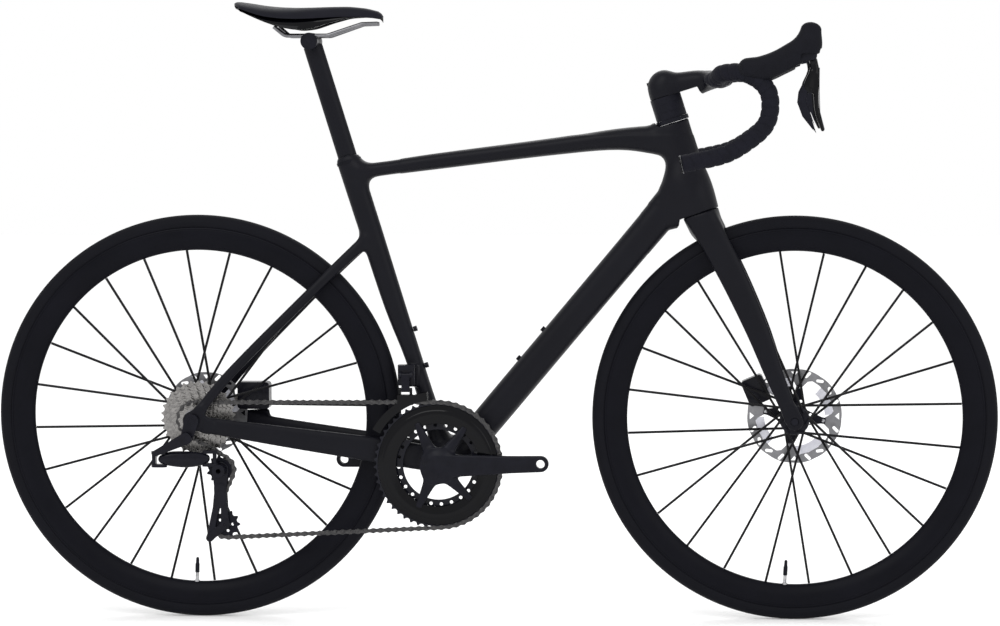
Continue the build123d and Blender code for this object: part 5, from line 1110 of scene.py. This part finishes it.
def saddle_skin(top, edge, half, depth, channel, rows=120, across=72):
    """A closed pad over the saddle's plan. Above, the height falls from the middle by 1 less (side share
    to 3.2) to the power of a third; below, it follows the same curve a fixed depth lower, drawn in to
    the edge."""
    xs = np.concatenate([np.linspace(-185, -193, 14), np.linspace(-193, -412, rows - 34)[1:],
                         np.linspace(-412, -428, 22)[1:]])
    at = lambda values: np.interp(-xs, -saddle_x, values)
    kernel = np.array([0.25, 0.5, 0.25])

    def soft(values):
        v = at(values)
        for _ in range(10):
            v[1:-1] = np.convolve(v, kernel, "valid")
        return v

    t, e, h = soft(top), soft(edge), soft(half)
    u = np.sin(np.linspace(-np.pi / 2, np.pi / 2, across))
    bow = (1 - np.abs(u) ** 3.2) ** (1 / 2.0)
    dip = channel * np.exp(-((u[None] * h[:, None] / 9) ** 2)) * np.clip((h[:, None] - 16) / 20, 0, 1)
    upper = e[:, None] + (t - e)[:, None] * bow[None] - dip
    lower = e[:, None] + np.maximum((t - e - depth)[:, None] * bow[None] - dip, 0.0)
    ys = h[:, None] * u[None]
    inner = h[:, None] * u[None] * 0.95
    ring = np.concatenate([np.stack([np.repeat(xs[:, None], across, 1), ys, upper], -1),
                           np.stack([np.repeat(xs[:, None], across, 1), inner, lower], -1)[:, ::-1]], 1)
    count = 2 * across
    faces = wrap(len(xs), count, False, True).tolist()
    faces += [list(range(count))[::-1], [(len(xs) - 1) * count + k for k in range(count)]]
    flat = ring.reshape(-1, 3)
    volume = sum(np.dot(np.cross(flat[f[0]], flat[f[k]]), flat[f[k + 1]]) for f in faces for k in range(1,
        len(f) - 1))
    return flat, faces if volume > 0 else [f[::-1] for f in faces]


saddle_pad = piece("saddle_skin_pad", [saddle_skin(saddle_top, skirt, saddle_half, 13.0, 2.4)], "frame",
                   "saddle_skin", ["saddle_cover"], crease=50)
piece("saddle_base", [saddle_skin(saddle_top - 11, shell_edge, saddle_half * 0.965, 3.2, 0.0)], "frame",
      "gloss_black", ["saddle_shell"], crease=50)

# ---------------------------------------------------------------- bright trims
# A rolled, polished edge runs down the front of each lever, and a thin metal ring closes each end of the
# bar.
for name, side in (("left", 1), ("right", -1)):
    y = side * bar_half
    line = np.array([(pivot_x + 11.6, y, pivot_z - 14), (pivot_x + 11.4, y, pivot_z - 50),
                     (pivot_x + 12.6, y, pivot_z - 84), (pivot_x + 20.0, y, pivot_z - 112)])
    piece(name + "_lever_edge", [bars(line[:-1], line[1:], [(0, 3.2, 0.7), (-0.01, 3.2, 0.7)], 10)],
          name + "_lever", "bearing_steel")
    tip = np.array([(bar_x - 54.6, side * 207, bar_z - 135.1)])
    piece(name + "_plug_ring", [bars(tip, tip - np.array([1.4, 0, 0.3]), [(0, 14.6, 14.6), (0.5, 15.2,
        15.2), (-0.3, 14.4, 14.4)], 40)],
          "steering", "bearing_steel")

# ---------------------------------------------------------------- rear derailleur
# A smooth gloss motor housing hides the link. The long cage is two black alloy plates that bend towards
# the lower
# pulley, with an opening between their legs.
lay_finish("derailleur_black", (0.0034, 0.0034, 0.0060), (0.0059, 0.0060, 0.0108), 0.28, cloud=60,
           coat=0.08, bump=0.05)
link_clay = Clay((-562, -98, 252), (-464, -56, 300), 0.9)
link_clay.tube([(-548, -84, 276, 15, 15), (-536, -82, 276.5, 18, 24), (-512, -77, 275, 19, 27),
                (-491, -72.5, 275, 17, 23), (-479, -70, 276, 14, 15)], blend=4, square=2.6)
for px, py in ((-548, -84), (-478, -70)):
    link_clay.rod((px, py, 250), (px, py, 302), 3.1, blend=0.5, carve=True)
piece("rear_motor_housing", [link_clay.surface()], "rear_mech_link", "derailleur_black",
      ["rear_derailleur_link"],
      crease=0)
heel = (-477.0, 140.0, 5.5)
cage_clay = Clay((-492, -60, 128), (-432, -40, 276), 0.8)
for y_from, y_to in ((-54.0, -56.8), (-43.6, -46.2)):
    cage_clay.plate(y_from, y_to, [(*guide, 14), (-458, 222, 10), (-466, 190, 5.5), heel], blend=3,
                    edge=1.2)
    cage_clay.plate(y_from, y_to, [(-458, 222, 10), (-452, 190, 5.5), (*tension, 7.5)], blend=3, edge=1.2)
    cage_clay.plate(y_from, y_to, [heel, (*tension, 7.5)], blend=3, edge=1.2)
for px, pz in (guide, tension):
    cage_clay.rod((px, -40.5, pz), (px, -59, pz), 2.55, blend=0.5)
piece("rear_cage_plates", [cage_clay.surface()], "rear_mech_cage", "derailleur_black",
      ["rear_derailleur_cage"],
      crease=0)

# ---------------------------------------------------------------- pieces that keep their turned and milled shapes
# Each solid that keeps its own shape gets the finish of its slot.
lay_finish("rail_metal", (0.13, 0.13, 0.14), (0.20, 0.20, 0.21), 0.3, cloud=90, metal=1.0, bump=0.05)
lay_finish("caliper_black", (0.0042, 0.0043, 0.0066), (0.0067, 0.0069, 0.0108), 0.26, cloud=90, coat=0.08,
           bump=0.08)
lay_finish("pad_steel", (0.2500, 0.2400, 0.2300), (0.3600, 0.3400, 0.3200), 0.4, cloud=150, metal=1.0)
slots = {part["node"]: part["material_slot"] for part in frame["record"]["subparts"]}
for node_name, node in frame["nodes"].items():
    if node.hide_render:
        continue
    slot_name = slots[node_name]
    node.data.materials.clear()
    node.data.materials.append(finish[slot_name])

# ---------------------------------------------------------------- studio
# A white paper sweep under the tyres, a big soft box overhead and in front, and the camera at eye height.


def lamp(name, place, aim, size, power):
    """A square soft box that faces the point it aims at."""
    light = bpy.data.lights.new(name, "AREA")
    light.size = size
    light.energy = power
    made = bpy.data.objects.new(name, light)
    bpy.context.scene.collection.objects.link(made)
    made.location = place
    direction = np.array(aim) - np.array(place)
    made.rotation_euler = Vector(direction).to_track_quat("-Z", "Y").to_euler()
    return made


lamp("key_box", (-1.2, -3.2, 3.6), (0, 0, 0.5), 2.6, 60)
lamp("fill_box", (2.6, -2.4, 1.8), (0, 0, 0.5), 2.0, 18)
lamp("back_box", (0.4, 2.8, 3.0), (0, 0, 0.5), 2.4, 30)
sky = bpy.data.worlds.new("studio")
bpy.context.scene.world = sky
sky.use_nodes = True
sky.node_tree.nodes["Background"].inputs["Color"].default_value = (1, 1, 1, 1)
sky.node_tree.nodes["Background"].inputs["Strength"].default_value = 1.0
floor_mesh = bpy.data.meshes.new("floor")
span = 14.0
floor_mesh.from_pydata([(-span, -span, 0), (span, -span, 0), (span, span, 0), (-span, span, 0)], [], [(0,
    1, 2, 3)])
floor = bpy.data.objects.new("floor", floor_mesh)
bpy.context.scene.collection.objects.link(floor)
paper = bpy.data.materials.new("paper")
paper.use_nodes = True
paper.node_tree.nodes["Principled BSDF"].inputs["Base Color"].default_value = (0.92, 0.92, 0.92, 1)
paper.node_tree.nodes["Principled BSDF"].inputs["Roughness"].default_value = 0.8
paper.node_tree.nodes["Principled BSDF"].inputs["Emission Color"].default_value = (1, 1, 1, 1)
paper.node_tree.nodes["Principled BSDF"].inputs["Emission Strength"].default_value = 0.12
floor_mesh.materials.append(paper)
bpy.context.scene.view_settings.view_transform = "Standard"

camera_data = bpy.data.cameras.new("camera")
camera = bpy.data.objects.new("camera", camera_data)
bpy.context.scene.collection.objects.link(camera)
camera.location = (0.4671, -5.0767, 0.8769)
camera.rotation_euler = (math.pi / 2 - 0.097, 0, 0.035)
camera_data.sensor_width = 36
camera_data.lens = 3050.0 / 1000 * 36
camera_data.shift_x = -(669.0 - 500) / 1000
camera_data.shift_y = (392.0 - 313) / 1000
bpy.context.scene.camera = camera
